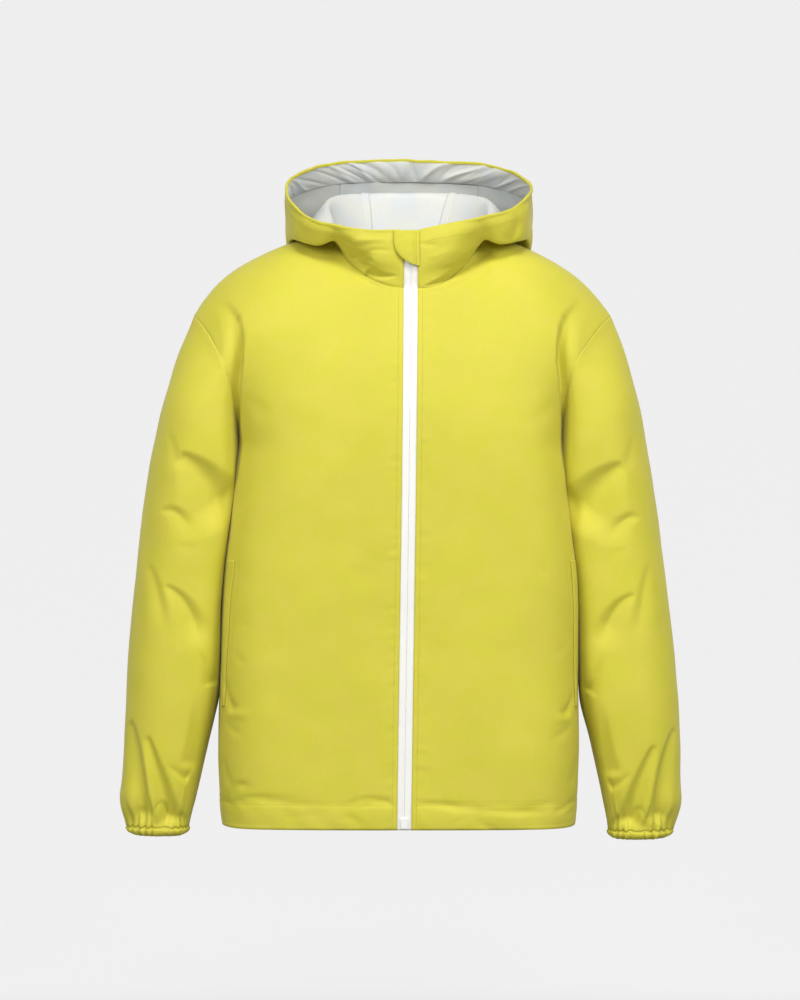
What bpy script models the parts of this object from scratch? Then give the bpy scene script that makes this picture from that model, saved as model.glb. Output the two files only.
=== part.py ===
"""Men's hooded rain jacket, filled out as if worn, with the hood down.

Tables and sizes are in millimetres; meshes are written in metres, +Z up.
The front faces -Y. Side +1 is +X (the wearer's left), side -1 is -X.
The origin is the middle of the wearer's shoulders, at the height of the neck seam.
"""
import math

import bmesh
import bpy
import numpy as np
from mathutils import Vector

MM = 0.001
OBJECT_NAME = "rain_jacket"

# ---- driving sizes -------------------------------------------------------------
WALL = 1.6            # shell cloth with its seam turnings
THIN_WALL = 1.0       # zip tape, facing, welt and pocket bag
SEAM_GAP = 0.3        # between two pieces that are sewn together
SEAM_INSET = 0.3      # how far each wall's outer edge stands back, so that its inner edge keeps that gap
NECK_GAP = 0.9        # the hood's lower edge over the neck edge
RIDGE_INSET = 0.5     # more of it where the shoulder seam is a sharp ridge, by the neck
RIDGE_SPAN = 0.16
NORMAL_STEP = 0.004
HEM_Z = -681.0
UNDERARM_Z = -222.0
NECK_SHIFT = 8.0      # the neck hole sits a little to the wearer's left
HOOD_SHIFT = 11.0     # and so does the hood
ZIP_OPEN = 8.4        # half of the white zip strip that shows
ZIP_TAPE = 12.0       # half of the whole zip, with what lies under the fronts
ZIP_LEAN_TOP = 13.0   # where the zip's middle is, at the neck
ZIP_LEAN_HEM = 3.0    # and at the hem
CHEST_ROW = 0.66      # share of a panel's height that lies under the armhole
NECK_CORNER = 0.42    # share of a panel's top edge that is neckline
SLEEVE_ROWS = 13.0    # last row number of the sleeve table
LEFT_SLEEVE_DROP = 4.0
BODY_DEPTH = 121.0    # the body's section, as a rounded oblong, where the sleeves rest on it
BODY_SQUARE = 3.6
REST_GAP = 0.9        # between sleeve and body
REST_SOFT = 2.0       # how softly the sleeve flattens against the body
GATHERS = 24          # elastic gathers round a cuff
GATHER_DEPTH = 1.3
GATHER_ROW = 11.9     # sleeve row where they begin
ARMHOLE_ROW = 2.6     # sleeve row by which the armhole seam's own shape has faded out
INNER_FLAT = 0.62     # how flat the sleeve is on the side that lies along the body
ARMHOLE_GAP = (0.55, 0, -0.2)
NECK_SHARE = 0.45     # around share where the neck seam passes the shoulder seam


def table(columns, *rows):
    """A short table as one array for each named column."""
    return {name: np.array([row[i] for row in rows], float) for i, name in enumerate(columns.split())}


SIDE_SEAM = table(
    "z x",
    (-681, 218), (-650, 220), (-520, 220), (-450, 219), (-360, 214), (-300, 207), (-250, 203), (-222, 198))

FRONT_ROWS = table(
    "share y z reach turn_x turn_y",
    (0.00, -122, -681, 190, 0, -112),
    (0.30, -125, -472, 190, 0, -112),
    (0.55, -130, -300, 178, 0, -108),
    (0.66, -131, -226, 165, 1, -100))

FRONT_TOP = table(
    "share y z",
    (0.00, -131, -226), (0.25, -129, -178), (0.50, -122, -124), (0.75, -108, -78), (1.00, -90, -37))

BACK_ROWS = table(
    "share y z reach turn_x turn_y",
    (0.00, 116, -681, 185, 0, 106),
    (0.30, 116, -472, 185, 0, 106),
    (0.55, 120, -300, 175, 0, 100),
    (0.66, 123, -226, 165, 1, 94))

BACK_TOP = table(
    "share y z",
    (0.00, 123, -226), (0.25, 125, -165), (0.50, 121, -98), (0.75, 102, -34), (1.00, 68, 25))

ARMHOLE = table(
    "turn x y z",
    (0.000, 198, 0, -222), (0.125, 197, -52, -200), (0.250, 206, -85, -140), (0.375, 229, -55, -92),
    (0.500, 250, 0, -65), (0.625, 232, 50, -88), (0.750, 212, 78, -140), (0.875, 199, 50, -198))

# The neck and shoulder seams: their end points and the handles that bend them.
NECK_SIDE = (93, 2, 38)
FRONT_NECK = {"y": -90, "z": -37, "start": 46, "end": (-3, -44, -24)}
BACK_NECK = {"y": 68, "z": 25, "start": 42, "end": (-2, 38, 1)}
SHOULDER_HANDLES = ((142, 2, 26), (215, 1, -6))

SLEEVE = table(
    "row out_x out_z in_x in_z mid_y depth",
    (0, 250, -65, 198, -222, -2, 82),
    (1, 267, -105, 194, -232, -3, 84),
    (2, 279.5, -146, 192, -245, -4, 85),
    (3, 293, -193, 191, -268, -5, 83),
    (4, 304.5, -243, 193, -302, -6, 80),
    (5, 312.5, -295, 198, -342, -7, 77),
    (6, 319, -350, 204, -388, -8, 73),
    (7, 325, -410, 210, -436, -10, 69),
    (8, 329.8, -465, 214, -482, -12, 65),
    (9, 333, -520, 220, -528, -14, 62),
    (10, 335.5, -575, 233, -579, -16, 58),
    (11, 338.5, -625, 244, -627, -18, 53),
    (12, 341, -655, 250.5, -656, -19, 48),
    (13, 331, -684, 258.5, -685, -20, 38.5))

CUFF = table(
    "share out_x in_x z depth",
    (0.0, 331, 258.5, -685, 38.5),
    (0.35, 332, 257.5, -688, 39.5),
    (0.7, 329, 259.5, -692, 38),
    (1.0, 322, 264, -695, 34))
CUFF_MIDDLE = 294.5
CUFF_GAP = 0.5

# The hood's rings, from the neck seam out to the rim; around is 0 at the zip and 1 at the middle of the back.
HOOD_RINGS = [
    table("around x y z",
          (0.00, 8.4, -93, -24), (0.12, 48, -83, -13), (0.22, 78, -55, 7),
          (0.30, 89, -30, 33), (0.38, 94, -8, 52), (0.46, 99, 14, 64),
          (0.60, 97, 52, 82), (0.80, 60, 79, 91), (1.00, 0, 84, 92)),
    table("around x y z",
          (0.00, 8.4, -95, -10), (0.12, 49, -90, -1), (0.22, 84, -63, 17),
          (0.30, 99, -44, 32), (0.38, 114, -20, 44), (0.46, 122, 12, 50),
          (0.60, 121, 70, 40), (0.80, 72, 100, 30), (1.00, 0, 106, 30)),
    table("around x y z",
          (0.00, 8.4, -96, 4), (0.12, 50, -92, 11), (0.22, 88, -72, 25),
          (0.30, 108, -62, 16), (0.38, 132, -44, 22), (0.46, 146, 0, 25),
          (0.60, 140, 84, -10), (0.80, 82, 126, -76), (1.00, 0, 130, -98)),
    table("around x y z",
          (0.00, 8.4, -95.5, 18), (0.12, 51, -93, 24), (0.22, 90, -80, 34),
          (0.30, 116, -70, 36), (0.38, 141, -46, 50), (0.46, 149, 2, 58),
          (0.60, 150, 84, 44), (0.80, 95, 158, -4), (1.00, 0, 169, -24)),
    table("around x y z",
          (0.00, 8.4, -93, 32), (0.12, 50, -90, 36.5), (0.22, 88, -84, 43),
          (0.30, 122, -68, 54), (0.38, 142, -44, 71), (0.46, 151, 2, 88),
          (0.60, 143, 58, 110), (0.80, 92, 104, 132), (1.00, 0, 116, 137)),
]
RIM_TILT = table("around lift", (0.0, 0), (0.14, 4.5), (0.24, 5), (0.34, 4), (0.5, 0), (1.0, 0))
HOOD_SEAM = 0.8167    # around share where a side panel meets the centre panel

# How far the cloth rounds over the shoulder, beside the seam.
SHOULDER_CROWN = table(
    "u front back",
    (0, 0, 0), (0.2, 10, 10), (0.42, 150, 120), (0.55, 170, 150), (0.75, 110, 95), (0.9, 45, 30), (1, 0, 0))
CROWN_WAY = {"front": (0, -0.45, 0.89), "back": (0, 0.45, 0.89)}

# The two sides hang a little differently: how far the cloth lies further out, by height, at the side of the
# body (near) and at the outer side of the sleeve (far).
SIDE_HANG = table(
    "z right_near right_far left_near left_far",
    (-700, -1, 0, -5, -3), (-640, -1, -1, -5, 1), (-570, -1, -1, -4, 4), (-480, -1, 0, -2, 4),
    (-400, 0, 0, 0, 2), (-300, 0, 0, 0, -1), (-220, 0, 0, 0, 0), (-160, 0, 1, 0, 8),
    (-115, 0, 1, 0, 13), (-80, 0, 1, 3, 14), (-45, 2, 3, 5, 9), (-12, 5, 6, 6, 8), (25, 2, 2, 2, 2))
HANG_START = 120      # it fades in from here
HANG_NEAR = 215
HANG_FAR = 330

# The fold between chest and sleeve: its valley, and how deep it sinks.
CHEST_FOLD = table(
    "z x depth",
    (-265, 194, 0), (-235, 194, 2), (-190, 193, 6), (-145, 191, 9),
    (-118, 188, 10), (-68, 194, 7), (-45, 214, 0))
FOLD_FRONT = -20      # it lies on the cloth in front of this depth
FOLD_STEEP = 7.0      # width of the fold's flank on the chest
FOLD_SOFT = 22.0      # and on the sleeve's side

# The facing band inside the hood's face opening, and its distance from the hood's wall.
FACING = table("around depth", (0, 18), (0.3, 18), (0.5, 26), (1, 28))
FACING_GAP = 0.9

# The chin flap's free edge from the rim down, and how far it stands off the collar across its width.
FLAP_EDGE = table(
    "share x z",
    (0.0, -7.2, 31.5), (0.35, -7.2, 16), (0.6, -4, 6), (0.8, 4, -3), (1.0, 15, -9.5))
FLAP_STAND = table("x rise", (-8, 2.6), (-2, 3.8), (5, 4.8), (12, 4.9), (17, 3.9), (20.5, 2.2))
FLAP_HINGE_X = 20.3
FLAP_FOOT = -11.5

ZIP_SPLIT = 0.2       # half of the gap between the two tapes
TAPE_DEPTH = 2.7      # how far the tapes lie behind the fronts' outer face
SLIDER_Z = 22.0
SLIDER_SIZE = (8.6, 1.8, 11)
BRIDGE_SIZE = (2.4, 2.0, 4.5)
PULL_SIZE = (5, 1.1, 20)
PULL_DROP = 12.2      # the pull's middle under the slider's
ZIP_BOX_SIZE = (9, 3.2, 13)
ZIP_BOX_RISE = 8.0    # its middle over the hem

# Side pockets by share of their length, from the bottom up, in shares of the front's height and width.
POCKET = table(
    "share v opening welt",
    (0, 0.206, 0.725, 0.775), (0.5, 0.335, 0.690, 0.765), (1, 0.459, 0.655, 0.745))
POCKET_BAG = table(
    "share v inner outer",
    (0, 0.10, 0.40, 0.74), (0.5, 0.29, 0.30, 0.76), (1, 0.49, 0.36, 0.76))
BAG_DEPTH = 3.0

YELLOW = (0.75, 0.68, 0.07)
WHITE = (0.86, 0.88, 0.88)


# ---- curves ------------------------------------------------------------------------
def read(rows, key, column, at):
    """A smooth curve through a table's rows (cubic Hermite with averaged slopes)."""
    xs, ys = rows[key], rows[column]
    slopes = np.gradient(ys, xs)
    at = min(max(at, xs[0]), xs[-1])
    i = min(max(int(np.searchsorted(xs, at)) - 1, 0), len(xs) - 2)
    span = xs[i + 1] - xs[i]
    t = (at - xs[i]) / span
    t2, t3 = t * t, t * t * t
    return float((2 * t3 - 3 * t2 + 1) * ys[i] + (t3 - 2 * t2 + t) * span * slopes[i]
                 + (3 * t2 - 2 * t3) * ys[i + 1] + (t3 - t2) * span * slopes[i + 1])


def read_loop(rows, key, columns, at):
    """A smooth closed curve through a table whose key runs once round, from 0 to 1."""
    keys = np.concatenate([rows[key][-2:] - 1, rows[key], rows[key][:2] + 1])
    point = []
    for column in columns:
        values = np.concatenate([rows[column][-2:], rows[column], rows[column][:2]])
        point.append(read({"k": keys, "v": values}, "k", "v", at % 1.0))
    return np.array(point)


def bezier(a, b, c, d, t):
    s = 1 - t
    return s * s * s * a + 3 * s * s * t * b + 3 * s * t * t * c + t * t * t * d


def ease(t, start, end):
    t = min(max((t - start) / (end - start), 0.0), 1.0)
    return t * t * (3 - 2 * t)


def vec(x, y, z):
    return np.array([x, y, z], float)


def toward(point, other, distance):
    return point + (other - point) / np.linalg.norm(other - point) * distance


def spread(start, end, count):
    return [start + (end - start) * i / count for i in range(count + 1)]


# ---- the body ----------------------------------------------------------------------
def zip_middle(z):
    """Where the middle of the zip is at a height: it leans a little."""
    return ZIP_LEAN_HEM + (ZIP_LEAN_TOP - ZIP_LEAN_HEM) * ease(z, HEM_Z - 300, 60)


def armhole(turn):
    """Armhole seam: turn 0 at the underarm, 0.5 on the shoulder, 0.25 at the front."""
    return read_loop(ARMHOLE, "turn", ("x", "y", "z"), turn)


def chest_fold(point):
    """How far the cloth sinks in the fold between chest and sleeve."""
    if point[1] > FOLD_FRONT:
        return 0.0
    x, z = abs(point[0]), point[2]
    away = x - read(CHEST_FOLD, "z", "x", z)
    width = FOLD_SOFT if away > 0 else FOLD_STEEP
    return read(CHEST_FOLD, "z", "depth", z) * math.exp(-(away / width) ** 2)


def neck_side(side):
    """Where the shoulder seam meets the neck seam."""
    return vec(NECK_SHIFT, 0, 0) + vec(*NECK_SIDE) * vec(side, 1, 1)


def neckline(side, face, share):
    """Neck seam, from the middle of the front or back to the shoulder seam."""
    sizes = FRONT_NECK if face == "front" else BACK_NECK
    corner = neck_side(side)
    middle = zip_middle(sizes["z"]) + side * ZIP_OPEN if face == "front" else NECK_SHIFT * 0.5
    start = vec(middle, sizes["y"], sizes["z"])
    handle = vec(*sizes["end"]) * vec(side, 1, 1)
    return bezier(start, start + vec(side * sizes["start"], 0, 0), corner + handle, corner, share)


def shoulder(side, share):
    """Shoulder seam, from the neck to the top of the armhole."""
    near, far = (vec(*handle) * vec(side, 1, 1) for handle in SHOULDER_HANDLES)
    return bezier(neck_side(side), near, far, armhole(0.5) * vec(side, 1, 1), share)


def top_edge(side, face, u):
    if u <= NECK_CORNER:
        return neckline(side, face, u / NECK_CORNER)
    return shoulder(side, (u - NECK_CORNER) / (1 - NECK_CORNER))


def low_row(side, face, u, v):
    """A level row of the body under the armhole, from the middle to the side seam."""
    rows = FRONT_ROWS if face == "front" else BACK_ROWS
    y, z = read(rows, "share", "y", v), read(rows, "share", "z", v)
    if face == "front":
        start = vec(zip_middle(z) + side * ZIP_OPEN, y, z)
    else:
        start = vec(NECK_SHIFT * 0.5 * ease(v, 0, CHEST_ROW), y, z)
    side_z = HEM_Z + (UNDERARM_Z - HEM_Z) * v / CHEST_ROW
    end = vec(side * read(SIDE_SEAM, "z", "x", side_z), 0, side_z)
    reach = vec(side * read(rows, "share", "reach", v), 0, 0)
    turn = vec(-side * read(rows, "share", "turn_x", v), read(rows, "share", "turn_y", v), 0)
    return bezier(start, start + reach, end + turn, end, u)


def middle_edge(side, face, share):
    """The panel's edge at the zip, or the middle of the back, above the underarm."""
    rows = FRONT_TOP if face == "front" else BACK_TOP
    y, z = read(rows, "share", "y", share), read(rows, "share", "z", share)
    if face == "front":
        return vec(zip_middle(z) + side * ZIP_OPEN, y, z)
    return vec(NECK_SHIFT * 0.5, y, z)


def arm_edge(side, face, share):
    turn = 0.5 * share if face == "front" else 1 - 0.5 * share
    return armhole(turn) * vec(side, 1, 1)


def body_plain(side, face, u, v):
    """The body's outer surface: u from the middle to the side, v from hem to neck and shoulder."""
    if v <= CHEST_ROW:
        return low_row(side, face, u, v)
    share = (v - CHEST_ROW) / (1 - CHEST_ROW)
    rise = share ** 1.4
    across = u ** 2.2
    middle, arm = middle_edge(side, face, share), arm_edge(side, face, share)
    foot_line = middle_edge(side, face, 0) * (1 - across) + arm_edge(side, face, 0) * across
    head_line = middle_edge(side, face, 1) * (1 - across) + arm_edge(side, face, 1) * across
    point = middle * (1 - across) + arm * across
    point = point + (low_row(side, face, u, CHEST_ROW) - foot_line) * (1 - rise)
    point = point + (top_edge(side, face, u) - head_line) * rise
    crown = read(SHOULDER_CROWN, "u", face, u) * share * share * (1 - share)
    return point + vec(*CROWN_WAY[face]) * crown


def hang(side, point):
    """The point where the cloth of its side really hangs."""
    name = "left" if side > 0 else "right"
    near, far = read(SIDE_HANG, "z", name + "_near", point[2]), read(SIDE_HANG, "z", name + "_far", point[2])
    across = abs(point[0])
    share = min(max((across - HANG_NEAR) / (HANG_FAR - HANG_NEAR), 0), 1)
    out = near * ease(across, HANG_START, HANG_NEAR) + (far - near) * share
    return point + vec(side * out, 0, 0)


def body(side, face, u, v):
    """The body's outer surface with the fold between chest and sleeve."""
    point = body_plain(side, face, u, v)
    return hang(side, point + vec(0, chest_fold(point), 0))


def outward(surface, u, v, v_end=1.0):
    """Unit normal of a surface function, by small steps."""
    du = surface(min(u + NORMAL_STEP, 1), v) - surface(max(u - NORMAL_STEP, 0), v)
    dv = surface(u, min(v + NORMAL_STEP, v_end)) - surface(u, max(v - NORMAL_STEP, 0))
    normal = np.cross(du, dv)
    return normal / max(np.linalg.norm(normal), 1e-9)


# ---- sleeves and cuffs -----------------------------------------------------------
def oval(side, out_x, out_z, in_x, in_z, mid_y, depth, turn):
    """A ring of the sleeve: flatter on the side that lies along the body."""
    k, m = -math.cos(2 * math.pi * turn), -math.sin(2 * math.pi * turn)
    if k < 0:
        k = -abs(k) ** INNER_FLAT
    middle = vec((out_x + in_x) / 2, mid_y, (out_z + in_z) / 2)
    half = vec((out_x - in_x) / 2, 0, (out_z - in_z) / 2)
    return (middle + half * k + vec(0, depth * m, 0)) * vec(side, 1, 1)


def body_side(y, z):
    """Half width of the body at a height and depth, for what lies along its side."""
    bend = min(abs(y) / BODY_DEPTH, 0.995)
    return read(SIDE_SEAM, "z", "x", z) * (1 - bend ** BODY_SQUARE) ** (1 / BODY_SQUARE)


def sleeve_drop(side, row):
    return vec(0, 0, -LEFT_SLEEVE_DROP * ease(row, 4, SLEEVE_ROWS) if side > 0 else 0)


def sleeve(side, turn, row):
    """The sleeve's outer surface: row 0 is the armhole, the last row is the wrist."""
    sizes = [read(SLEEVE, "row", name, row) for name in ("out_x", "out_z", "in_x", "in_z", "mid_y", "depth")]
    first = [SLEEVE[name][0] for name in ("out_x", "out_z", "in_x", "in_z", "mid_y", "depth")]
    edge = armhole(turn) * vec(side, 1, 1)
    seam = edge + vec(0, chest_fold(edge), 0) - oval(side, *first, turn)
    point = oval(side, *sizes, turn) + seam * (1 - ease(row, 0, ARMHOLE_ROW))
    if row > 0.2:
        rest = body_side(point[1], point[2]) + REST_GAP
        over = abs(point[0]) - rest
        point[0] = side * (rest + (over + math.hypot(over, REST_SOFT)) / 2)
    gather = GATHER_DEPTH * ease(row, GATHER_ROW, SLEEVE_ROWS) * math.cos(2 * math.pi * GATHERS * turn)
    middle = vec(side * (sizes[0] + sizes[2]) / 2, sizes[4], point[2])
    away = point - middle
    return hang(side, point + away / max(np.linalg.norm(away), 1e-9) * gather) + sleeve_drop(side, row)


def cuff(side, turn, share):
    z = read(CUFF, "share", "z", share)
    point = oval(side, read(CUFF, "share", "out_x", share), z, read(CUFF, "share", "in_x", share), z,
                 SLEEVE["mid_y"][-1], read(CUFF, "share", "depth", share), turn)
    away = point - vec(side * CUFF_MIDDLE, SLEEVE["mid_y"][-1], z)
    point = point + away / np.linalg.norm(away) * GATHER_DEPTH * math.cos(2 * math.pi * GATHERS * turn)
    return hang(side, point) + sleeve_drop(side, SLEEVE_ROWS) - vec(0, 0, CUFF_GAP)


# ---- hood --------------------------------------------------------------------------
def hood_neck(side, around):
    if around <= NECK_SHARE:
        return neckline(side, "front", around / NECK_SHARE)
    return neckline(side, "back", (1 - around) / (1 - NECK_SHARE))


def hood(side, around, climb):
    """The hood's outer face: around from zip to middle back, climb 0 at the neck seam, 5 at the rim."""
    points = [hood_neck(side, around) + vec(0, 0, NECK_GAP)]
    lean = zip_middle(0) * (1 - ease(around, 0, 0.1)) + HOOD_SHIFT * ease(around, 0, 0.1)
    for number, ring in enumerate(HOOD_RINGS, 1):
        x, y, z = (read(ring, "around", name, around) for name in ("x", "y", "z"))
        lift = side * read(RIM_TILT, "around", "lift", around) * ease(number, 2, 5)
        points.append(vec(lean + side * x, y, z + lift))
    profile = np.array(points)
    steps = np.arange(len(points), dtype=float)
    return vec(*(read({"k": steps, "v": profile[:, i]}, "k", "v", climb) for i in range(3)))


def hood_round(turn, climb):
    """The hood with one running share from the right of the zip (0) to the left of it (1)."""
    if turn <= 0.5:
        return hood(-1, turn * 2, climb)
    return hood(1, (1 - turn) * 2, climb)


# ---- building ----------------------------------------------------------------------
def make_material(name, colour, roughness):
    material = bpy.data.materials.new(name)
    material.use_nodes = True
    shader = material.node_tree.nodes["Principled BSDF"]
    shader.inputs["Base Color"].default_value = (*colour, 1)
    shader.inputs["Roughness"].default_value = roughness
    shader.inputs["Metallic"].default_value = 0.0
    return material


def add_object(name, mesh, material, collection):
    mesh.materials.append(material)
    mesh.shade_smooth()
    mesh.set_sharp_from_angle(angle=math.radians(40))
    thing = bpy.data.objects.new(name, mesh)
    collection.objects.link(thing)
    return thing


def add_wall(name, grid, material, collection, wall=WALL, closed=False, turned=False):
    """An open sheet lofted through rows of points, given its thickness by Solidify."""
    rows, columns = len(grid), [len(row) for row in grid]
    starts = np.concatenate([[0], np.cumsum(columns)])
    points = [tuple(point * MM) for row in grid for point in row]
    faces = []
    for r in range(rows - 1):
        ratio = columns[r + 1] // columns[r]
        cells = columns[r] if closed else columns[r] - 1
        for c in range(cells):
            near = starts[r] + c
            next_near = starts[r] + (c + 1) % columns[r]
            far = [starts[r + 1] + (c * ratio + k) % columns[r + 1] for k in range(ratio + 1)]
            face = [near, next_near] + far[::-1]
            faces.append(face[::-1] if turned else face)
    mesh = bpy.data.meshes.new(name)
    mesh.from_pydata(points, [], faces)
    mesh.update()
    thing = add_object(name, mesh, material, collection)
    solid = thing.modifiers.new("wall", "SOLIDIFY")
    solid.thickness = wall * MM
    solid.offset = -1
    return thing


def panel_grid(surface, us, vs):
    return [[surface(u, v) for u in us] for v in vs]


LOW_ROWS = [0, 0.06, 0.14, 0.23, 0.32, 0.41, 0.50, 0.58, CHEST_ROW]
TOP_ROWS = [CHEST_ROW + (1 - CHEST_ROW) * k / 12 for k in range(1, 12)] + [0.994, 1.0]
ACROSS = [0, 0.07, 0.14, 0.21, 0.28, 0.35, 0.42, 0.51, 0.60, 0.69, 0.77, 0.84, 0.90, 0.95, 1.0]


def inset_edges(us, vs, surface):
    """The same shares, with the outer and top edges drawn in by half of a seam's gap."""
    def point(u, v):
        here = surface(u, v)
        if u > 0.999:
            here = toward(here, surface(ACROSS[-2], v), SEAM_INSET)
        if v > 0.999:
            ridge = RIDGE_INSET * (1 - ease(abs(u - NECK_CORNER), 0, RIDGE_SPAN))
            here = toward(here, surface(u, TOP_ROWS[-2]), SEAM_INSET + ridge)
        return here
    return panel_grid(point, us, vs)


def build_fronts(material, collection):
    for side, name in ((-1, "front_right"), (1, "front_left")):
        grid = inset_edges(ACROSS, LOW_ROWS + TOP_ROWS, lambda u, v: body(side, "front", u, v))
        add_wall(name, grid, material, collection, turned=side < 0)


def build_back(material, collection):
    right = inset_edges(ACROSS, LOW_ROWS + TOP_ROWS, lambda u, v: body(-1, "back", u, v))
    left = inset_edges(ACROSS, LOW_ROWS + TOP_ROWS, lambda u, v: body(1, "back", u, v))
    grid = [row_left[:0:-1] + row_right for row_left, row_right in zip(left, right)]
    add_wall("back", grid, material, collection)


def build_sleeves(material, collection):
    ring, fine_ring = spread(0, 1, 24)[:-1], spread(0, 1, 48)[:-1]
    for side, name in ((-1, "sleeve_right"), (1, "sleeve_left")):
        grid = []
        for row in [0, 0.5, 1.1, 1.7, 2.4, 3.1, 3.9, 4.8, 5.8, 6.8, 7.8, 8.8, 9.7, 10.5, 11.3]:
            gap = vec(*ARMHOLE_GAP) * vec(side, 1, 1) * (1 - ease(row, 0, 1.5))
            grid.append([sleeve(side, turn, row) + gap for turn in ring])
        for row in [12.0, 12.4, 12.75, 13.0]:
            grid.append([sleeve(side, turn, row) for turn in fine_ring])
        add_wall(name, grid, material, collection, closed=True, turned=side > 0)
    for side, name in ((-1, "cuff_right"), (1, "cuff_left")):
        grid = [[cuff(side, turn, share) for turn in fine_ring] for share in (0, 0.35, 0.7, 1.0)]
        add_wall(name, grid, material, collection, closed=True, turned=side > 0)


CLIMB = [0, 0.4, 0.75, 1.0, 1.25, 1.6, 2.05, 2.5, 2.8, 3.1, 3.5, 4.0, 4.5, 5.0]
SIDE_AROUND = [0, 0.05, 0.10, 0.15, 0.1875, 0.225, 0.2625, 0.30, 0.3375, 0.375, 0.4125, 0.45,
               0.496, 0.542, 0.633, 0.725, 0.80, HOOD_SEAM]
CENTRE_TURNS = [HOOD_SEAM / 2, 0.417, 0.437, 0.458, 0.479, 0.5, 0.521, 0.542, 0.563, 0.583, 1 - HOOD_SEAM / 2]


def seam_row(row, at_start, at_end):
    """A row of points whose first or last point stands back from its seam."""
    row = list(row)
    if at_start:
        row[0] = toward(row[0], row[1], SEAM_INSET)
    if at_end:
        row[-1] = toward(row[-1], row[-2], SEAM_INSET)
    return row


def build_hood(material, collection):
    for side, name in ((-1, "hood_right"), (1, "hood_left")):
        grid = [seam_row([hood(side, around, climb) for around in SIDE_AROUND], False, True)
                for climb in CLIMB]
        add_wall(name, grid, material, collection, turned=side < 0)
    grid = [seam_row([hood_round(turn, climb) for turn in CENTRE_TURNS], True, True) for climb in CLIMB]
    add_wall("hood_centre", grid, material, collection, turned=True)


def climb_below_rim(turn, depth):
    """The climb share that lies a given length down from the rim."""
    climb, length, last = 5.0, 0.0, hood_round(turn, 5.0)
    while length < depth and climb > 2.0:
        climb -= 0.02
        here = hood_round(turn, climb)
        length += np.linalg.norm(here - last)
        last = here
    return climb


def hood_inside(turn, climb, depth):
    """A point of the hood moved in, off its outer face."""
    return hood_round(turn, climb) + outward(hood_round, turn, climb, v_end=5.0) * depth


def build_facing(material, collection):
    turns = [a / 2 for a in SIDE_AROUND[1:-1]] + CENTRE_TURNS + [1 - a / 2 for a in SIDE_AROUND[-2:0:-1]]
    starts = [climb_below_rim(turn, read(FACING, "around", "depth", 1 - abs(1 - 2 * turn))) for turn in turns]
    grid = []
    for share in (0, 0.5, 1.0):
        grid.append([hood_inside(turn, start + (4.98 - start) * share, WALL + FACING_GAP)
                     for turn, start in zip(turns, starts)])
    add_wall("hood_facing", grid, material, collection, wall=THIN_WALL, turned=True)


def zip_path():
    """Points along the zip's middle on the outer face, from the hem to the rim."""
    path = [low_row(1, "front", 0, v) for v in LOW_ROWS]
    path += [middle_edge(1, "front", (v - CHEST_ROW) / (1 - CHEST_ROW)) for v in TOP_ROWS[:-2]]
    path += [hood(1, 0, climb) for climb in (0, 0.4, 0.75, 1.25, 2.05, 2.8, 3.5, 4.0, 4.5, 4.97)]
    return [point - vec(ZIP_OPEN, 0, 0) for point in path]


def build_zip(white, collection):
    """Two tapes that run from the hem to the rim, behind the edges of the fronts and the hood."""
    path = zip_path()
    backs = []
    for i, point in enumerate(path):
        run = path[min(i + 1, len(path) - 1)] - path[max(i - 1, 0)]
        inward = vec(0, run[2], -run[1])
        backs.append(point + inward / np.linalg.norm(inward) * TAPE_DEPTH)
    for side, name in ((-1, "zip_tape_right"), (1, "zip_tape_left")):
        grid = [[back + vec(side * ZIP_SPLIT, 0, 0), back + vec(side * ZIP_TAPE, 0, 0)] for back in backs]
        add_wall(name, grid, white, collection, wall=THIN_WALL, turned=side < 0)


def add_block(name, size, place, bevel, material, collection):
    """A small moulded piece: a box with rounded edges."""
    mesh = bpy.data.meshes.new(name)
    shape = bmesh.new()
    bmesh.ops.create_cube(shape, size=1.0)
    bmesh.ops.scale(shape, vec=Vector(size) * MM, verts=shape.verts)
    shape.to_mesh(mesh)
    shape.free()
    thing = add_object(name, mesh, material, collection)
    thing.location = Vector(place) * MM
    edge = thing.modifiers.new("edge", "BEVEL")
    edge.width = bevel * MM
    edge.segments = 2
    return thing


def collar_front(z):
    """The collar's front face beside the zip, at a height."""
    rows = [hood(1, 0, climb) for climb in (0, 1, 2, 3, 4, 5)]
    return float(np.interp(z, [row[2] for row in rows], [row[1] for row in rows]))


def build_zip_fittings(white, collection):
    top = collar_front(SLIDER_Z)
    x = zip_middle(SLIDER_Z)
    plate = add_block("zip_slider", SLIDER_SIZE, (x, top + 0.5, SLIDER_Z), 0.5, white, collection)
    bridge = add_block("slider_bridge", BRIDGE_SIZE, (x, top - 1.0, SLIDER_Z + 1.5), 0.5, white, collection)
    join = plate.modifiers.new("bridge", "BOOLEAN")
    join.operation = "UNION"
    join.object = bridge
    bridge.hide_render = True
    bridge.display_type = "WIRE"
    collection.objects.unlink(bridge)
    cutters = bpy.data.collections.new("helpers")
    bpy.context.scene.collection.children.link(cutters)
    cutters.objects.link(bridge)
    pull_z = SLIDER_Z - PULL_DROP
    add_block("zip_pull", PULL_SIZE, (x, collar_front(pull_z) - 1.5, pull_z), 0.4, white, collection)
    foot = low_row(1, "front", 0, 0)
    place = (foot[0] - ZIP_OPEN, foot[1] + 0.3, HEM_Z + ZIP_BOX_RISE)
    add_block("zip_box", ZIP_BOX_SIZE, place, 0.9, white, collection)


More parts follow.
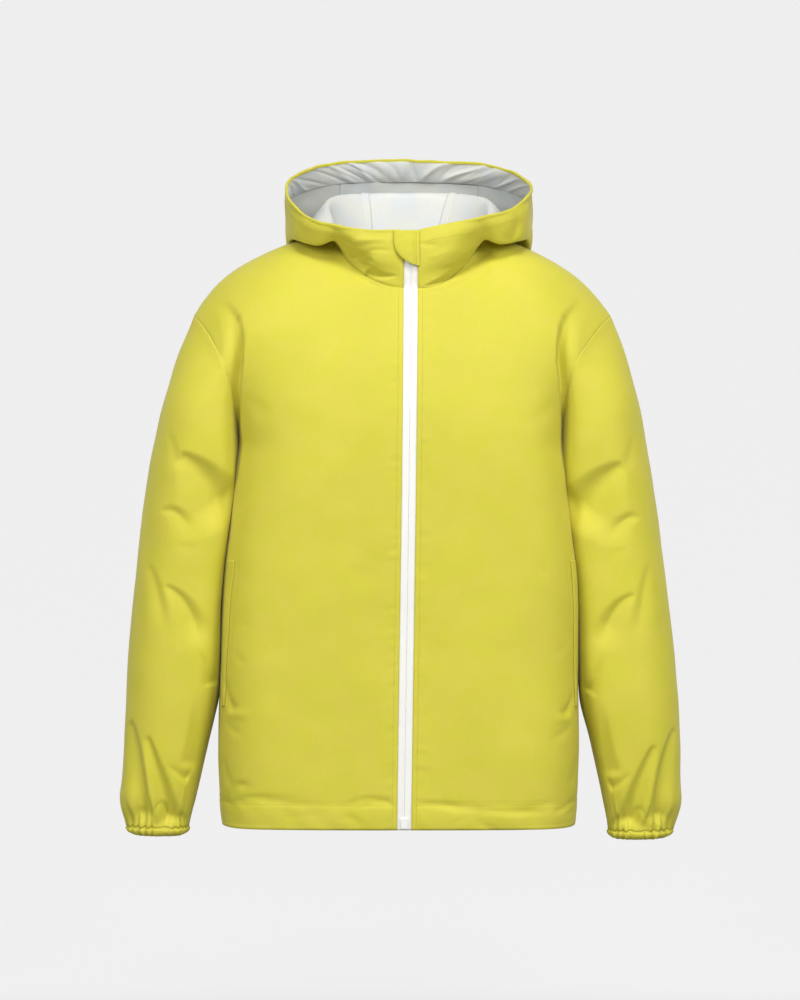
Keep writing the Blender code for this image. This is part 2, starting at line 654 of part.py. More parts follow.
def build_flap(material, collection):
    """The half-moon guard: sewn at the wearer's left of the zip, free along its curved edge."""
    grid = []
    for share in spread(0, 1, 8):
        left = (read(FLAP_EDGE, "share", "x", share), read(FLAP_EDGE, "share", "z", share))
        right = (FLAP_HINGE_X, FLAP_EDGE["z"][0] + (FLAP_FOOT - FLAP_EDGE["z"][0]) * share)
        row = []
        for across in spread(0, 1, 6):
            x = left[0] + (right[0] - left[0]) * across
            z = left[1] + (right[1] - left[1]) * across
            row.append(vec(x, collar_front(z) - read(FLAP_STAND, "x", "rise", x), z))
        grid.append(row[::-1])
    add_wall("chin_flap", grid, material, collection)


def build_pockets(material, collection):
    for side, name in ((-1, "right"), (1, "left")):
        def surface(u, v, side=side):
            return body(side, "front", u, v)
        grid = []
        for share in spread(0, 1, 9):
            v = read(POCKET, "share", "v", share)
            edge, back_edge = read(POCKET, "share", "opening", share), read(POCKET, "share", "welt", share)
            grid.append([surface(u, v) + outward(surface, u, v) * side * (SEAM_GAP + THIN_WALL)
                         for u in spread(edge, back_edge, 2)])
        add_wall("pocket_welt_" + name, grid, material, collection, wall=THIN_WALL, turned=side < 0)
        grid = []
        for share in spread(0, 1, 7):
            v = read(POCKET_BAG, "share", "v", share)
            first, last = read(POCKET_BAG, "share", "inner", share), read(POCKET_BAG, "share", "outer", share)
            grid.append([surface(u, v) - outward(surface, u, v) * side * BAG_DEPTH
                         for u in spread(first, last, 6)])
        add_wall("pocket_bag_" + name, grid, material, collection, wall=THIN_WALL, turned=side < 0)


def main():
    for thing in list(bpy.data.objects):
        bpy.data.objects.remove(thing, do_unlink=True)
    collection = bpy.data.collections.new(OBJECT_NAME)
    bpy.context.scene.collection.children.link(collection)
    shell = make_material("shell_yellow", YELLOW, 0.55)
    build_fronts(shell, collection)
    build_back(shell, collection)
    build_sleeves(shell, collection)
    build_hood(shell, collection)
    inside = make_material("inside_white", WHITE, 0.5)
    build_facing(inside, collection)
    build_zip(make_material("zip_white", WHITE, 0.6), collection)
    build_zip_fittings(make_material("moulded_white", WHITE, 0.35), collection)
    build_flap(shell, collection)
    build_pockets(shell, collection)


main()
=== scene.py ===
import math
import bpy
import numpy as np
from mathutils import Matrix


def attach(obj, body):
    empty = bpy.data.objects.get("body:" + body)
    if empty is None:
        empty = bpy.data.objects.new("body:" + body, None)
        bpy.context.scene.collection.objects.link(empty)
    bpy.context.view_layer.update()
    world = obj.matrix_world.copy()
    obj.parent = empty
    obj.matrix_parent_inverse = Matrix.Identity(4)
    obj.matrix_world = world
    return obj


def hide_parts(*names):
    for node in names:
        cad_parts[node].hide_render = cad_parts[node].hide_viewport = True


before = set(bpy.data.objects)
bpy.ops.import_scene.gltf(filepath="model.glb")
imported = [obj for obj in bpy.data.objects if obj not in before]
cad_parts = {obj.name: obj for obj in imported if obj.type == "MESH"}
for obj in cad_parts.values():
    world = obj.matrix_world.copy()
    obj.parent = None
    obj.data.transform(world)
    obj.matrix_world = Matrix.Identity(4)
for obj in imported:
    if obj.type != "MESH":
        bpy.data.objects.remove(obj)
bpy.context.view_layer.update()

mm = 0.001
print("frame loaded:", len(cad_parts), "nodes")

# Tables and sizes are in millimetres, meshes in metres. Side 1 is the wearer's left (+x), the front faces -y.


# curves and small helpers
def table(columns, *rows):
    return {name: np.array([row[i] for row in rows], float) for i, name in enumerate(columns.split())}


def read(rows, key, column, at):
    # smooth curve through a table's rows
    xs, ys = rows[key], rows[column]
    slopes = np.gradient(ys, xs)
    at = np.clip(at, xs[0], xs[-1])
    i = np.clip(np.searchsorted(xs, at) - 1, 0, len(xs) - 2)
    span = xs[i + 1] - xs[i]
    t = (at - xs[i]) / span
    t2, t3 = t * t, t * t * t
    return ((2 * t3 - 3 * t2 + 1) * ys[i] + (t3 - 2 * t2 + t) * span * slopes[i]
            + (3 * t2 - 2 * t3) * ys[i + 1] + (t3 - t2) * span * slopes[i + 1])


def readLoop(rows, key, columns, at):
    keys = np.concatenate([rows[key][-2:] - 1, rows[key], rows[key][:2] + 1])
    parts = []
    for column in columns:
        values = np.concatenate([rows[column][-2:], rows[column], rows[column][:2]])
        parts.append(read({"k": keys, "v": values}, "k", "v", np.mod(at, 1.0)))
    return np.stack(parts, -1)


def vec(x, y, z):
    return np.stack(np.broadcast_arrays(np.asarray(x, float), np.asarray(y, float), np.asarray(z, float)), -1)


def mix(a, b, t):
    return a + (b - a) * np.asarray(t)[..., None]


def bezier(a, b, c, d, t):
    t = np.asarray(t)[..., None]
    s = 1 - t
    return s * s * s * a + 3 * s * s * t * b + 3 * s * t * t * c + t * t * t * d


def ease(t, start, end):
    t = np.clip((np.asarray(t, float) - start) / (end - start), 0, 1)
    return t * t * (3 - 2 * t)


def lengthOf(v):
    return np.linalg.norm(v, axis=-1, keepdims=True)


def unit(v):
    return v / np.maximum(lengthOf(v), 1e-9)


def uneven(points, size, seed):
    # smooth irregular relief from -1 to 1, made of a few plane waves
    rng = np.random.default_rng(seed)
    total = np.zeros(points.shape[:-1])
    for k in range(9):
        way = rng.normal(size=3)
        way = way / np.linalg.norm(way)
        total += np.sin(points @ way * (2 * math.pi / size) * rng.uniform(0.6, 1.5) + rng.uniform(0, 6.28))
    return total / 4.0


def unevenAlong(at, size, seed):
    return uneven(vec(at, 0.31 * at, -0.17 * at), size, seed)


# the garment's form
form = dict(hemZ=-681.0, underarmZ=-222.0, neckShift=8.0, hoodShift=11.0, zipOpen=8.4, zipTape=12.0, leanTop=13.0,
            leanHem=3.0, chestRow=0.66, neckCorner=0.42, sleeveRows=13.0, leftDrop=4.0, bodyDepth=121.0,
            bodySquare=3.6, restGap=0.3, restSoft=1.2, gathers=24, wall=1.2, innerFlat=0.46,
            neckShare=0.45, hoodSeam=0.8167, facingGap=0.9, cadWall=1.6)

sideSeam = table("z x", (-681, 218), (-650, 220), (-520, 220), (-450, 219), (-360, 214), (-300, 207), (-250, 203),
                 (-222, 198))
lowRows = {
    "front": table("share y z reach turnX turnY", (0.00, -122, -681, 190, 0, -112), (0.30, -125, -472, 190, 0, -112),
                   (0.55, -130, -300, 178, 0, -108), (0.66, -131, -226, 165, 1, -100)),
    "back": table("share y z reach turnX turnY", (0.00, 116, -681, 185, 0, 106), (0.30, 116, -472, 185, 0, 106),
                  (0.55, 120, -300, 175, 0, 100), (0.66, 123, -226, 165, 1, 94)),
}
middleRows = {
    "front": table("share y z", (0.00, -131, -226), (0.25, -129, -178), (0.50, -122, -124), (0.75, -108, -78),
                   (1.00, -90, -37)),
    "back": table("share y z", (0.00, 123, -226), (0.25, 125, -165), (0.50, 121, -98), (0.75, 102, -34),
                  (1.00, 68, 25)),
}
armholeRows = table("turn x y z", (0.000, 198, 0, -222), (0.125, 197, -52, -200), (0.250, 206, -85, -140),
                    (0.375, 229, -55, -92), (0.500, 250, 0, -65), (0.625, 232, 50, -88), (0.750, 212, 78, -140),
                    (0.875, 199, 50, -198))
neckSide = (93, 2, 38)
neckShapes = {"front": dict(y=-90, z=-37, start=46, end=(-3, -44, -24)), "back": dict(y=68, z=25, start=42, end=(-2, 38, 1))}
shoulderHandles = ((142, 2, 26), (215, 1, -6))
shoulderCrown = table("u front back", (0, 0, 0), (0.2, 10, 10), (0.42, 150, 120), (0.55, 170, 150), (0.75, 110, 95),
                      (0.9, 45, 30), (1, 0, 0))
crownWay = {"front": (0, -0.45, 0.89), "back": (0, 0.45, 0.89)}
chestFoldRows = table("z x depth", (-265, 194.5, 0), (-235, 194.5, 4), (-190, 193.5, 12), (-145, 191.5, 18), (-118, 189, 20),
                      (-90, 190, 15), (-70, 195, 7), (-55, 206, 2), (-45, 214, 0))
chestFoldSizes = dict(front=-20, steep=2.6, soft=25.0)

sleeveTable = table(
    "row outX outZ inX inZ midY depth",
    (0, 250, -65, 198, -222, -2, 82), (1, 267, -105, 194, -232, -3, 84), (2, 279.5, -146, 192, -245, -4, 85),
    (3, 293, -193, 191, -268, -5, 83), (4, 304.5, -243, 193, -302, -6, 80), (5, 312.5, -295, 198, -342, -7, 77),
    (6, 319, -350, 204, -388, -8, 73), (7, 325, -410, 210, -436, -10, 69), (8, 329.8, -465, 214, -482, -12, 65),
    (9, 333, -520, 220, -528, -14, 62), (10, 335.5, -575, 233, -579, -16, 58), (11, 338.5, -625, 244, -627, -18, 53),
    (12, 341, -655, 250.5, -656, -19, 48), (13, 331, -684, 258.5, -685, -20, 38.5))
cuffTable = table("share outX inX z depth", (0.0, 331, 258.5, -685, 38.5), (0.35, 332, 257.5, -688, 39.5),
                  (0.7, 329, 259.5, -692, 38), (1.0, 322, 264, -695, 34))
# the two sides hang a little differently: how far the cloth lies further out, by height
sideHang = table(
    "z rightNear rightFar leftNear leftFar",
    (-700, -1, 0, -5, -3), (-640, -1, -1, -5, 1), (-570, -1, -1, -4, 4), (-480, -1, 0, -2, 4),
    (-400, 0, 0, 0, 2), (-300, 0, 0, 0, -1), (-220, 0, 0, 0, 0), (-160, 0, 1, 0, 8),
    (-115, 0, 1, 0, 13), (-80, 0, 1, 3, 14), (-45, 2, 3, 5, 9), (-12, 5, 6, 6, 8), (25, 2, 2, 2, 2))
hangSizes = dict(start=120, near=215, far=330)

# the hood's rings from the neck seam out to the rim; around is 0 at the zip and 1 at the middle of the back
hoodRings = [
    table("around x y z", (0.00, 8.4, -93, -24), (0.12, 48, -83, -13), (0.22, 78, -55, 7), (0.30, 89, -30, 33),
          (0.38, 94, -8, 52), (0.46, 99, 14, 64), (0.60, 97, 52, 82), (0.80, 60, 79, 91), (1.00, 0, 84, 92)),
    table("around x y z", (0.00, 8.4, -95, -10), (0.12, 49, -90, -1), (0.22, 84, -63, 17), (0.30, 99, -44, 32),
          (0.38, 114, -20, 44), (0.46, 122, 12, 50), (0.60, 121, 70, 40), (0.80, 72, 100, 30), (1.00, 0, 106, 30)),
    table("around x y z", (0.00, 8.4, -96, 4), (0.12, 50, -92, 11), (0.22, 88, -72, 25), (0.30, 108, -62, 16),
          (0.38, 132, -44, 22), (0.46, 146, 0, 25), (0.60, 140, 84, -10), (0.80, 82, 126, -76), (1.00, 0, 130, -98)),
    table("around x y z", (0.00, 8.4, -95.5, 18), (0.12, 51, -93, 24), (0.22, 90, -80, 34), (0.30, 116, -70, 36),
          (0.38, 141, -46, 50), (0.46, 149, 2, 58), (0.60, 150, 84, 44), (0.80, 95, 158, -4), (1.00, 0, 169, -24)),
    table("around x y z", (0.00, 8.4, -93, 32), (0.12, 50, -90, 36.5), (0.22, 88, -84, 43), (0.30, 122, -68, 54),
          (0.38, 142, -44, 71), (0.46, 151, 2, 88), (0.60, 143, 58, 110), (0.80, 92, 104, 132), (1.00, 0, 116, 137)),
]
rimTilt = table("around lift", (0.0, 0), (0.14, 4.5), (0.24, 5), (0.34, 4), (0.5, 0), (1.0, 0))


def zipMiddle(z):
    return form["leanHem"] + (form["leanTop"] - form["leanHem"]) * ease(z, form["hemZ"] - 300, 60)


def armhole(side, turn):
    return readLoop(armholeRows, "turn", ("x", "y", "z"), turn) * (side, 1, 1)


def chestFold(point):
    x, z = np.abs(point[..., 0]), point[..., 2]
    away = x - read(chestFoldRows, "z", "x", z)
    width = np.where(away > 0, chestFoldSizes["soft"], chestFoldSizes["steep"])
    depth = read(chestFoldRows, "z", "depth", z) * np.clip(1 - np.abs(away) / width, 0, 1) ** 1.6
    return np.where(point[..., 1] > chestFoldSizes["front"], 0, depth)


def neckSideAt(side):
    return np.array([form["neckShift"] + side * neckSide[0], neckSide[1], neckSide[2]], float)


def neckline(side, face, share):
    sizes = neckShapes[face]
    middle = zipMiddle(sizes["z"]) + side * form["zipOpen"] if face == "front" else form["neckShift"] * 0.5
    start = np.array([float(middle), sizes["y"], sizes["z"]])
    corner = neckSideAt(side)
    handle = np.array(sizes["end"], float) * (side, 1, 1)
    return bezier(start, start + (side * sizes["start"], 0, 0), corner + handle, corner, share)


def shoulder(side, share):
    near, far = (np.array(h, float) * (side, 1, 1) for h in shoulderHandles)
    return bezier(neckSideAt(side), near, far, armhole(side, np.array(0.5)), share)


def topEdge(side, face, u):
    corner = form["neckCorner"]
    neck = neckline(side, face, np.clip(u / corner, 0, 1))
    return np.where((u <= corner)[..., None], neck, shoulder(side, np.clip((u - corner) / (1 - corner), 0, 1)))


def lowRow(side, face, u, v):
    rows = lowRows[face]
    y, z = read(rows, "share", "y", v), read(rows, "share", "z", v)
    if face == "front":
        start = vec(zipMiddle(z) + side * form["zipOpen"], y, z)
    else:
        start = vec(form["neckShift"] * 0.5 * ease(v, 0, form["chestRow"]), y, z)
    sideZ = form["hemZ"] + (form["underarmZ"] - form["hemZ"]) * v / form["chestRow"]
    end = vec(side * read(sideSeam, "z", "x", sideZ), 0, sideZ)
    reach = vec(side * read(rows, "share", "reach", v), 0, 0)
    turn = vec(-side * read(rows, "share", "turnX", v), read(rows, "share", "turnY", v), 0)
    return bezier(start, start + reach, end + turn, end, u)


def middleEdge(side, face, share):
    rows = middleRows[face]
    y, z = read(rows, "share", "y", share), read(rows, "share", "z", share)
    if face == "front":
        return vec(zipMiddle(z) + side * form["zipOpen"], y, z)
    return vec(form["neckShift"] * 0.5, y, z)


def armEdge(side, face, share):
    return armhole(side, 0.5 * share if face == "front" else 1 - 0.5 * share)


def bodyPlain(side, face, u, v):
    chestRow = form["chestRow"]
    u, v = np.broadcast_arrays(np.asarray(u, float), np.asarray(v, float))
    low = lowRow(side, face, u, np.minimum(v, chestRow))
    share = np.clip((v - chestRow) / (1 - chestRow), 0, 1)
    rise, across = share ** 1.4, u ** 2.2
    foot, head = np.zeros_like(u), np.ones_like(u)
    footLine = mix(middleEdge(side, face, foot), armEdge(side, face, foot), across)
    headLine = mix(middleEdge(side, face, head), armEdge(side, face, head), across)
    point = mix(middleEdge(side, face, share), armEdge(side, face, share), across)
    point = point + (lowRow(side, face, u, foot + chestRow) - footLine) * (1 - rise)[..., None]
    point = point + (topEdge(side, face, u) - headLine) * rise[..., None]
    crown = read(shoulderCrown, "u", face, u) * share * share * (1 - share)
    point = point + np.array(crownWay[face]) * crown[..., None]
    return np.where((v <= chestRow)[..., None], low, point)


def oval(side, outX, outZ, inX, inZ, midY, depth, turn):
    k, m = -np.cos(2 * math.pi * turn), -np.sin(2 * math.pi * turn)
    k = np.where(k < 0, -np.abs(k) ** form["innerFlat"], k)
    middle = vec((outX + inX) / 2, midY, (outZ + inZ) / 2)
    half = vec((outX - inX) / 2, 0, (outZ - inZ) / 2)
    return (middle + half * k[..., None] + vec(0, depth * m, 0)) * (side, 1, 1)


def bodySide(y, z):
    bend = np.minimum(np.abs(y) / form["bodyDepth"], 0.995)
    slack = (1.2 + 2.4 * ease(z, -330, -255)) * ease(np.abs(y), 8, 45)
    return read(sideSeam, "z", "x", z) * (1 - bend ** form["bodySquare"]) ** (1 / form["bodySquare"]) - slack


def sleeveDrop(side, row):
    return -form["leftDrop"] * ease(row, 4, form["sleeveRows"]) * (side > 0)


def sleevePlain(side, turn, row):
    turn, row = np.broadcast_arrays(np.asarray(turn, float), np.asarray(row, float))
    names = ("outX", "outZ", "inX", "inZ", "midY", "depth")
    sizes = [read(sleeveTable, "row", name, row) for name in names]
    first = [sleeveTable[name][0] + 0 * row for name in names]
    edge = armhole(side, turn)
    seam = edge + vec(0, chestFold(edge), 0) - oval(side, *first, turn)
    point = oval(side, *sizes, turn) + seam * (1 - ease(row, 0, 2.6))[..., None]
    rest = bodySide(point[..., 1], point[..., 2]) + form["restGap"]
    over = np.abs(point[..., 0]) - rest
    moved = side * (rest + (over + np.hypot(over, form["restSoft"])) / 2)
    point[..., 0] += (moved - point[..., 0]) * ease(row, 0, 0.5)
    return hang(side, point) + vec(0, 0, sleeveDrop(side, row))


def hoodNeck(side, around):
    share = form["neckShare"]
    front = neckline(side, "front", np.clip(around / share, 0, 1))
    back = neckline(side, "back", np.clip((1 - around) / (1 - share), 0, 1))
    return np.where((around <= share)[..., None], front, back)


def hoodPlain(side, around, climb):
    around, climb = np.broadcast_arrays(np.asarray(around, float), np.asarray(climb, float))
    points = [hoodNeck(side, around)]
    lean = zipMiddle(0) * (1 - ease(around, 0, 0.1)) + form["hoodShift"] * ease(around, 0, 0.1)
    for number, ring in enumerate(hoodRings, 1):
        x, y, z = (read(ring, "around", name, around) for name in ("x", "y", "z"))
        lift = side * read(rimTilt, "around", "lift", around) * ease(number, 2, 5)
        points.append(vec(lean + side * x, y, z + lift))
    profile = np.array(points)
    slopes = np.gradient(profile, axis=0)
    i = np.clip(np.ceil(climb).astype(int) - 1, 0, 4)
    t = (climb - i)[..., None]
    here = np.take_along_axis(profile, i[None, ..., None], 0)[0]
    there = np.take_along_axis(profile, i[None, ..., None] + 1, 0)[0]
    slopeHere = np.take_along_axis(slopes, i[None, ..., None], 0)[0]
    slopeThere = np.take_along_axis(slopes, i[None, ..., None] + 1, 0)[0]
    t2, t3 = t * t, t * t * t
    return ((2 * t3 - 3 * t2 + 1) * here + (t3 - 2 * t2 + t) * slopeHere
            + (3 * t2 - 2 * t3) * there + (t3 - t2) * slopeThere)


def hang(side, point):
    # where the cloth of its side really hangs
    name = "left" if side > 0 else "right"
    z, across = point[..., 2], np.abs(point[..., 0])
    near, far = read(sideHang, "z", name + "Near", z), read(sideHang, "z", name + "Far", z)
    share = np.clip((across - hangSizes["near"]) / (hangSizes["far"] - hangSizes["near"]), 0, 1)
    out = near * ease(across, hangSizes["start"], hangSizes["near"]) + (far - near) * share
    return point + vec(side * out, 0, 0)


# grids of points
def normalsOf(grid, flip, closed=False):
    if closed:
        du = np.roll(grid, -1, 1) - np.roll(grid, 1, 1)
    else:
        du = np.gradient(grid, axis=1)
    normal = unit(np.cross(du, np.gradient(grid, axis=0)))
    return -normal if flip else normal


def soften(grid, passes, closed=False):
    # smooths a grid's inside along both ways and leaves its edges
    grid = grid.copy()
    for k in range(passes):
        grid[1:-1] = (grid[:-2] + 2 * grid[1:-1] + grid[2:]) / 4
        if closed:
            grid = (np.roll(grid, 1, 1) + 2 * grid + np.roll(grid, -1, 1)) / 4
        else:
            grid[:, 1:-1] = (grid[:, :-2] + 2 * grid[:, 1:-1] + grid[:, 2:]) / 4
    return grid


def runs(grid):
    # distance along the cloth from the first column and from the first row
    across = np.cumsum(np.concatenate([np.zeros((grid.shape[0], 1)),
                                       np.linalg.norm(np.diff(grid, axis=1), axis=-1)], 1), 1)
    along = np.cumsum(np.concatenate([np.zeros((1, grid.shape[1])),
                                      np.linalg.norm(np.diff(grid, axis=0), axis=-1)], 0), 0)
    return across, along


def evenShares(curve, count):
    # shares of a parameter that cut a curve, a list of points, into equal lengths
    steps = np.concatenate([[0], np.cumsum(np.linalg.norm(np.diff(curve, axis=0), axis=-1))])
    return np.interp(np.linspace(0, steps[-1], count), steps, np.linspace(0, 1, len(curve)))


# Creases lie on the cloth as seen from the front or the back. A row runs from its tip (x0, z0) over (x1, z1) to
# (x2, z2) and sinks to its depth there, less than 0 for a ridge. Dark and light are its widths at the end, on the
# shaded side and the other one, turn is 1 where the shaded side is on the left of the way it runs, edge is how
# round its line is, and start and end are the shares over which it fades in and out.
def creases(x, z, rows):
    total = np.zeros(x.shape)
    for x0, z0, x1, z1, x2, z2, depth, dark, light, turn, edge, start, end in rows:
        reach = max(dark, light)
        near = ((x > min(x0, x1, x2) - reach) & (x < max(x0, x1, x2) + reach)
                & (z > min(z0, z1, z2) - reach) & (z < max(z0, z1, z2) + reach))
        if not near.any():
            continue
        px, pz = x[near], z[near]
        t = np.linspace(0, 1, creaseSteps + 1)
        cx, cz = 2 * x1 - (x0 + x2) / 2, 2 * z1 - (z0 + z2) / 2
        lineX = (1 - t) ** 2 * x0 + 2 * t * (1 - t) * cx + t * t * x2
        lineZ = (1 - t) ** 2 * z0 + 2 * t * (1 - t) * cz + t * t * z2
        best = np.full(px.shape, 1e9)
        share, signed = np.zeros(px.shape), np.zeros(px.shape)
        for k in range(creaseSteps):
            dx, dz = lineX[k + 1] - lineX[k], lineZ[k + 1] - lineZ[k]
            s = np.clip(((px - lineX[k]) * dx + (pz - lineZ[k]) * dz) / (dx * dx + dz * dz), 0, 1)
            ex, ez = px - lineX[k] - dx * s, pz - lineZ[k] - dz * s
            gap = np.hypot(ex, ez)
            closer = gap < best
            best = np.where(closer, gap, best)
            share = np.where(closer, (k + s) / creaseSteps, share)
            signed = np.where(closer, gap * np.sign(dx * ez - dz * ex) * turn, signed)
        wide = 0.12 + 0.88 * share
        off = np.hypot(signed, edge) - edge
        if edge < softEdge:
            shaded = np.clip(1 - off / (dark * wide), 0, 1) ** 1.35
        else:
            shaded = 1 - ease(off / (dark * wide), 0, 1)
        lit = np.clip(1 - off / (light * wide), 0, 1) ** 1.5
        fade = ease(share, 0, start) * (1 - ease(share, 1 - end, 1))
        total[near] -= depth * (0.15 + 0.85 * share) * fade * np.where(signed > 0, shaded, lit)
    return total


creaseSteps, softEdge = 24, 3
frontBodyFolds = [
    (-70, -9, -43, -27, -5, -40, 0.9, 4.7, 3.5, 1, 0.8, 0.1, 0.1),
    (-206, -499, -206, -523, -198, -542, 4.2, 9.5, 4.7, 1, 0.8, 0.3, 0.08),
    (-211, -546, -194, -547, -173, -540, -2.4, 9.5, 8.3, 1, 3, 0.3, 0.5),
    (-209, -551, -200, -564, -186, -569, 1.8, 8.3, 7.1, 1, 1.5, 0.2, 0.4),
    (-212, -596, -208, -614, -202, -636, 2, 7.1, 8.3, 1, 1.5, 0.3, 0.3),
    (-196, -649, -163, -645, -97, -655, 4, 13, 8.3, 1, 0.8, 0.08, 0.55),
    (-201, -648, -193, -629, -175, -636, 3.2, 9.5, 5.9, -1, 1.2, 0.2, 0.4),
    (-198, -644, -189, -650, -181, -657, 1.6, 3.5, 4.7, 1, 0.6, 0.2, 0.3),
    (-214, -646, -206, -653, -196, -658, 1.6, 5.9, 4.7, 1, 0.8, 0.2, 0.3),
    (-67, -653, -40, -645, -4, -651, 3.4, 8.3, 5.9, 1, 0.7, 0.25, 0.15),
    (-59, -656, -43, -652, -21, -649, 1.4, 4.7, 4.7, -1, 0.7, 0.3, 0.3),
    (-80, -674, -63, -665, -43, -678, 1.5, 7.1, 5.9, -1, 1, 0.3, 0.3),
    (-142, -671, -118, -664, -88, -663, 1, 9.5, 7.1, -1, 2, 0.4, 0.4),
    (-71, -368, -50, -378, -21, -399, 1.3, 18.9, 21.3, 1, 6, 0.4, 0.4),
    (-192, -442, -186, -439, -177, -442, 1, 5.9, 3.5, 1, 0.7, 0.2, 0.4),
    (-200, -468, -193, -476, -186, -488, 1.6, 4.7, 5.9, 1, 0.7, 0.15, 0.3),
    (-189, -163, -173, -177, -156, -200, 1.3, 14.2, 14.2, 1, 4, 0.4, 0.4),
    (-194, -89, -170, -92, -140, -89, -0.6, 7.1, 9.5, 1, 3, 0.4, 0.4),
    (118, -9, 73, -33, 28, -42, 0.9, 4.7, 3.5, -1, 0.8, 0.1, 0.1),
    (206, -515, 205, -532, 196, -548, 4.2, 9.5, 4.7, -1, 0.8, 0.3, 0.08),
    (209, -549, 196, -552, 175, -547, -2.4, 9.5, 8.3, -1, 3, 0.3, 0.5),
    (206, -560, 195, -567, 179, -578, 2, 9.5, 8.3, -1, 1.5, 0.2, 0.4),
    (211, -593, 208, -614, 203, -636, 2, 7.1, 8.3, -1, 1.5, 0.3, 0.3),
    (11, -649, 43, -651, 88, -659, 3.4, 9.5, 7.1, 1, 0.8, 0.15, 0.3),
    (62, -652, 118, -659, 189, -659, 3.6, 11.8, 7.1, 1, 0.9, 0.2, 0.35),
    (47, -644, 58, -650, 69, -655, 1.4, 4.7, 4.7, 1, 0.8, 0.2, 0.4),
    (90, -668, 102, -676, 118, -684, 2.2, 8.3, 8.3, -1, 1, 0.2, 0.2),
    (62, -679, 69, -670, 83, -664, 1.5, 5.9, 5.9, -1, 0.8, 0.2, 0.4),
    (209, -648, 198, -656, 181, -661, 3.2, 7.1, 5.9, -1, 0.8, 0.15, 0.3),
    (213, -658, 205, -664, 196, -666, 1.4, 4.7, 4.7, -1, 0.8, 0.2, 0.3),
    (38, -601, 33, -614, 31, -627, 1, 5.9, 7.1, -1, 2, 0.3, 0.4),
    (158, -361, 167, -373, 176, -378, 1.3, 10.6, 8.3, 1, 2.5, 0.3, 0.3),
    (201, -457, 194, -465, 189, -476, 1.6, 4.7, 5.9, -1, 0.7, 0.15, 0.3),
    (202, -429, 196, -429, 189, -431, 1, 4.7, 3.5, -1, 0.7, 0.2, 0.4),
    (83, -456, 118, -527, 142, -610, 1.2, 30.8, 35.5, 1, 8, 0.4, 0.4),
    (192, -167, 175, -182, 158, -205, 1.2, 14.2, 14.2, -1, 4, 0.4, 0.4),
]
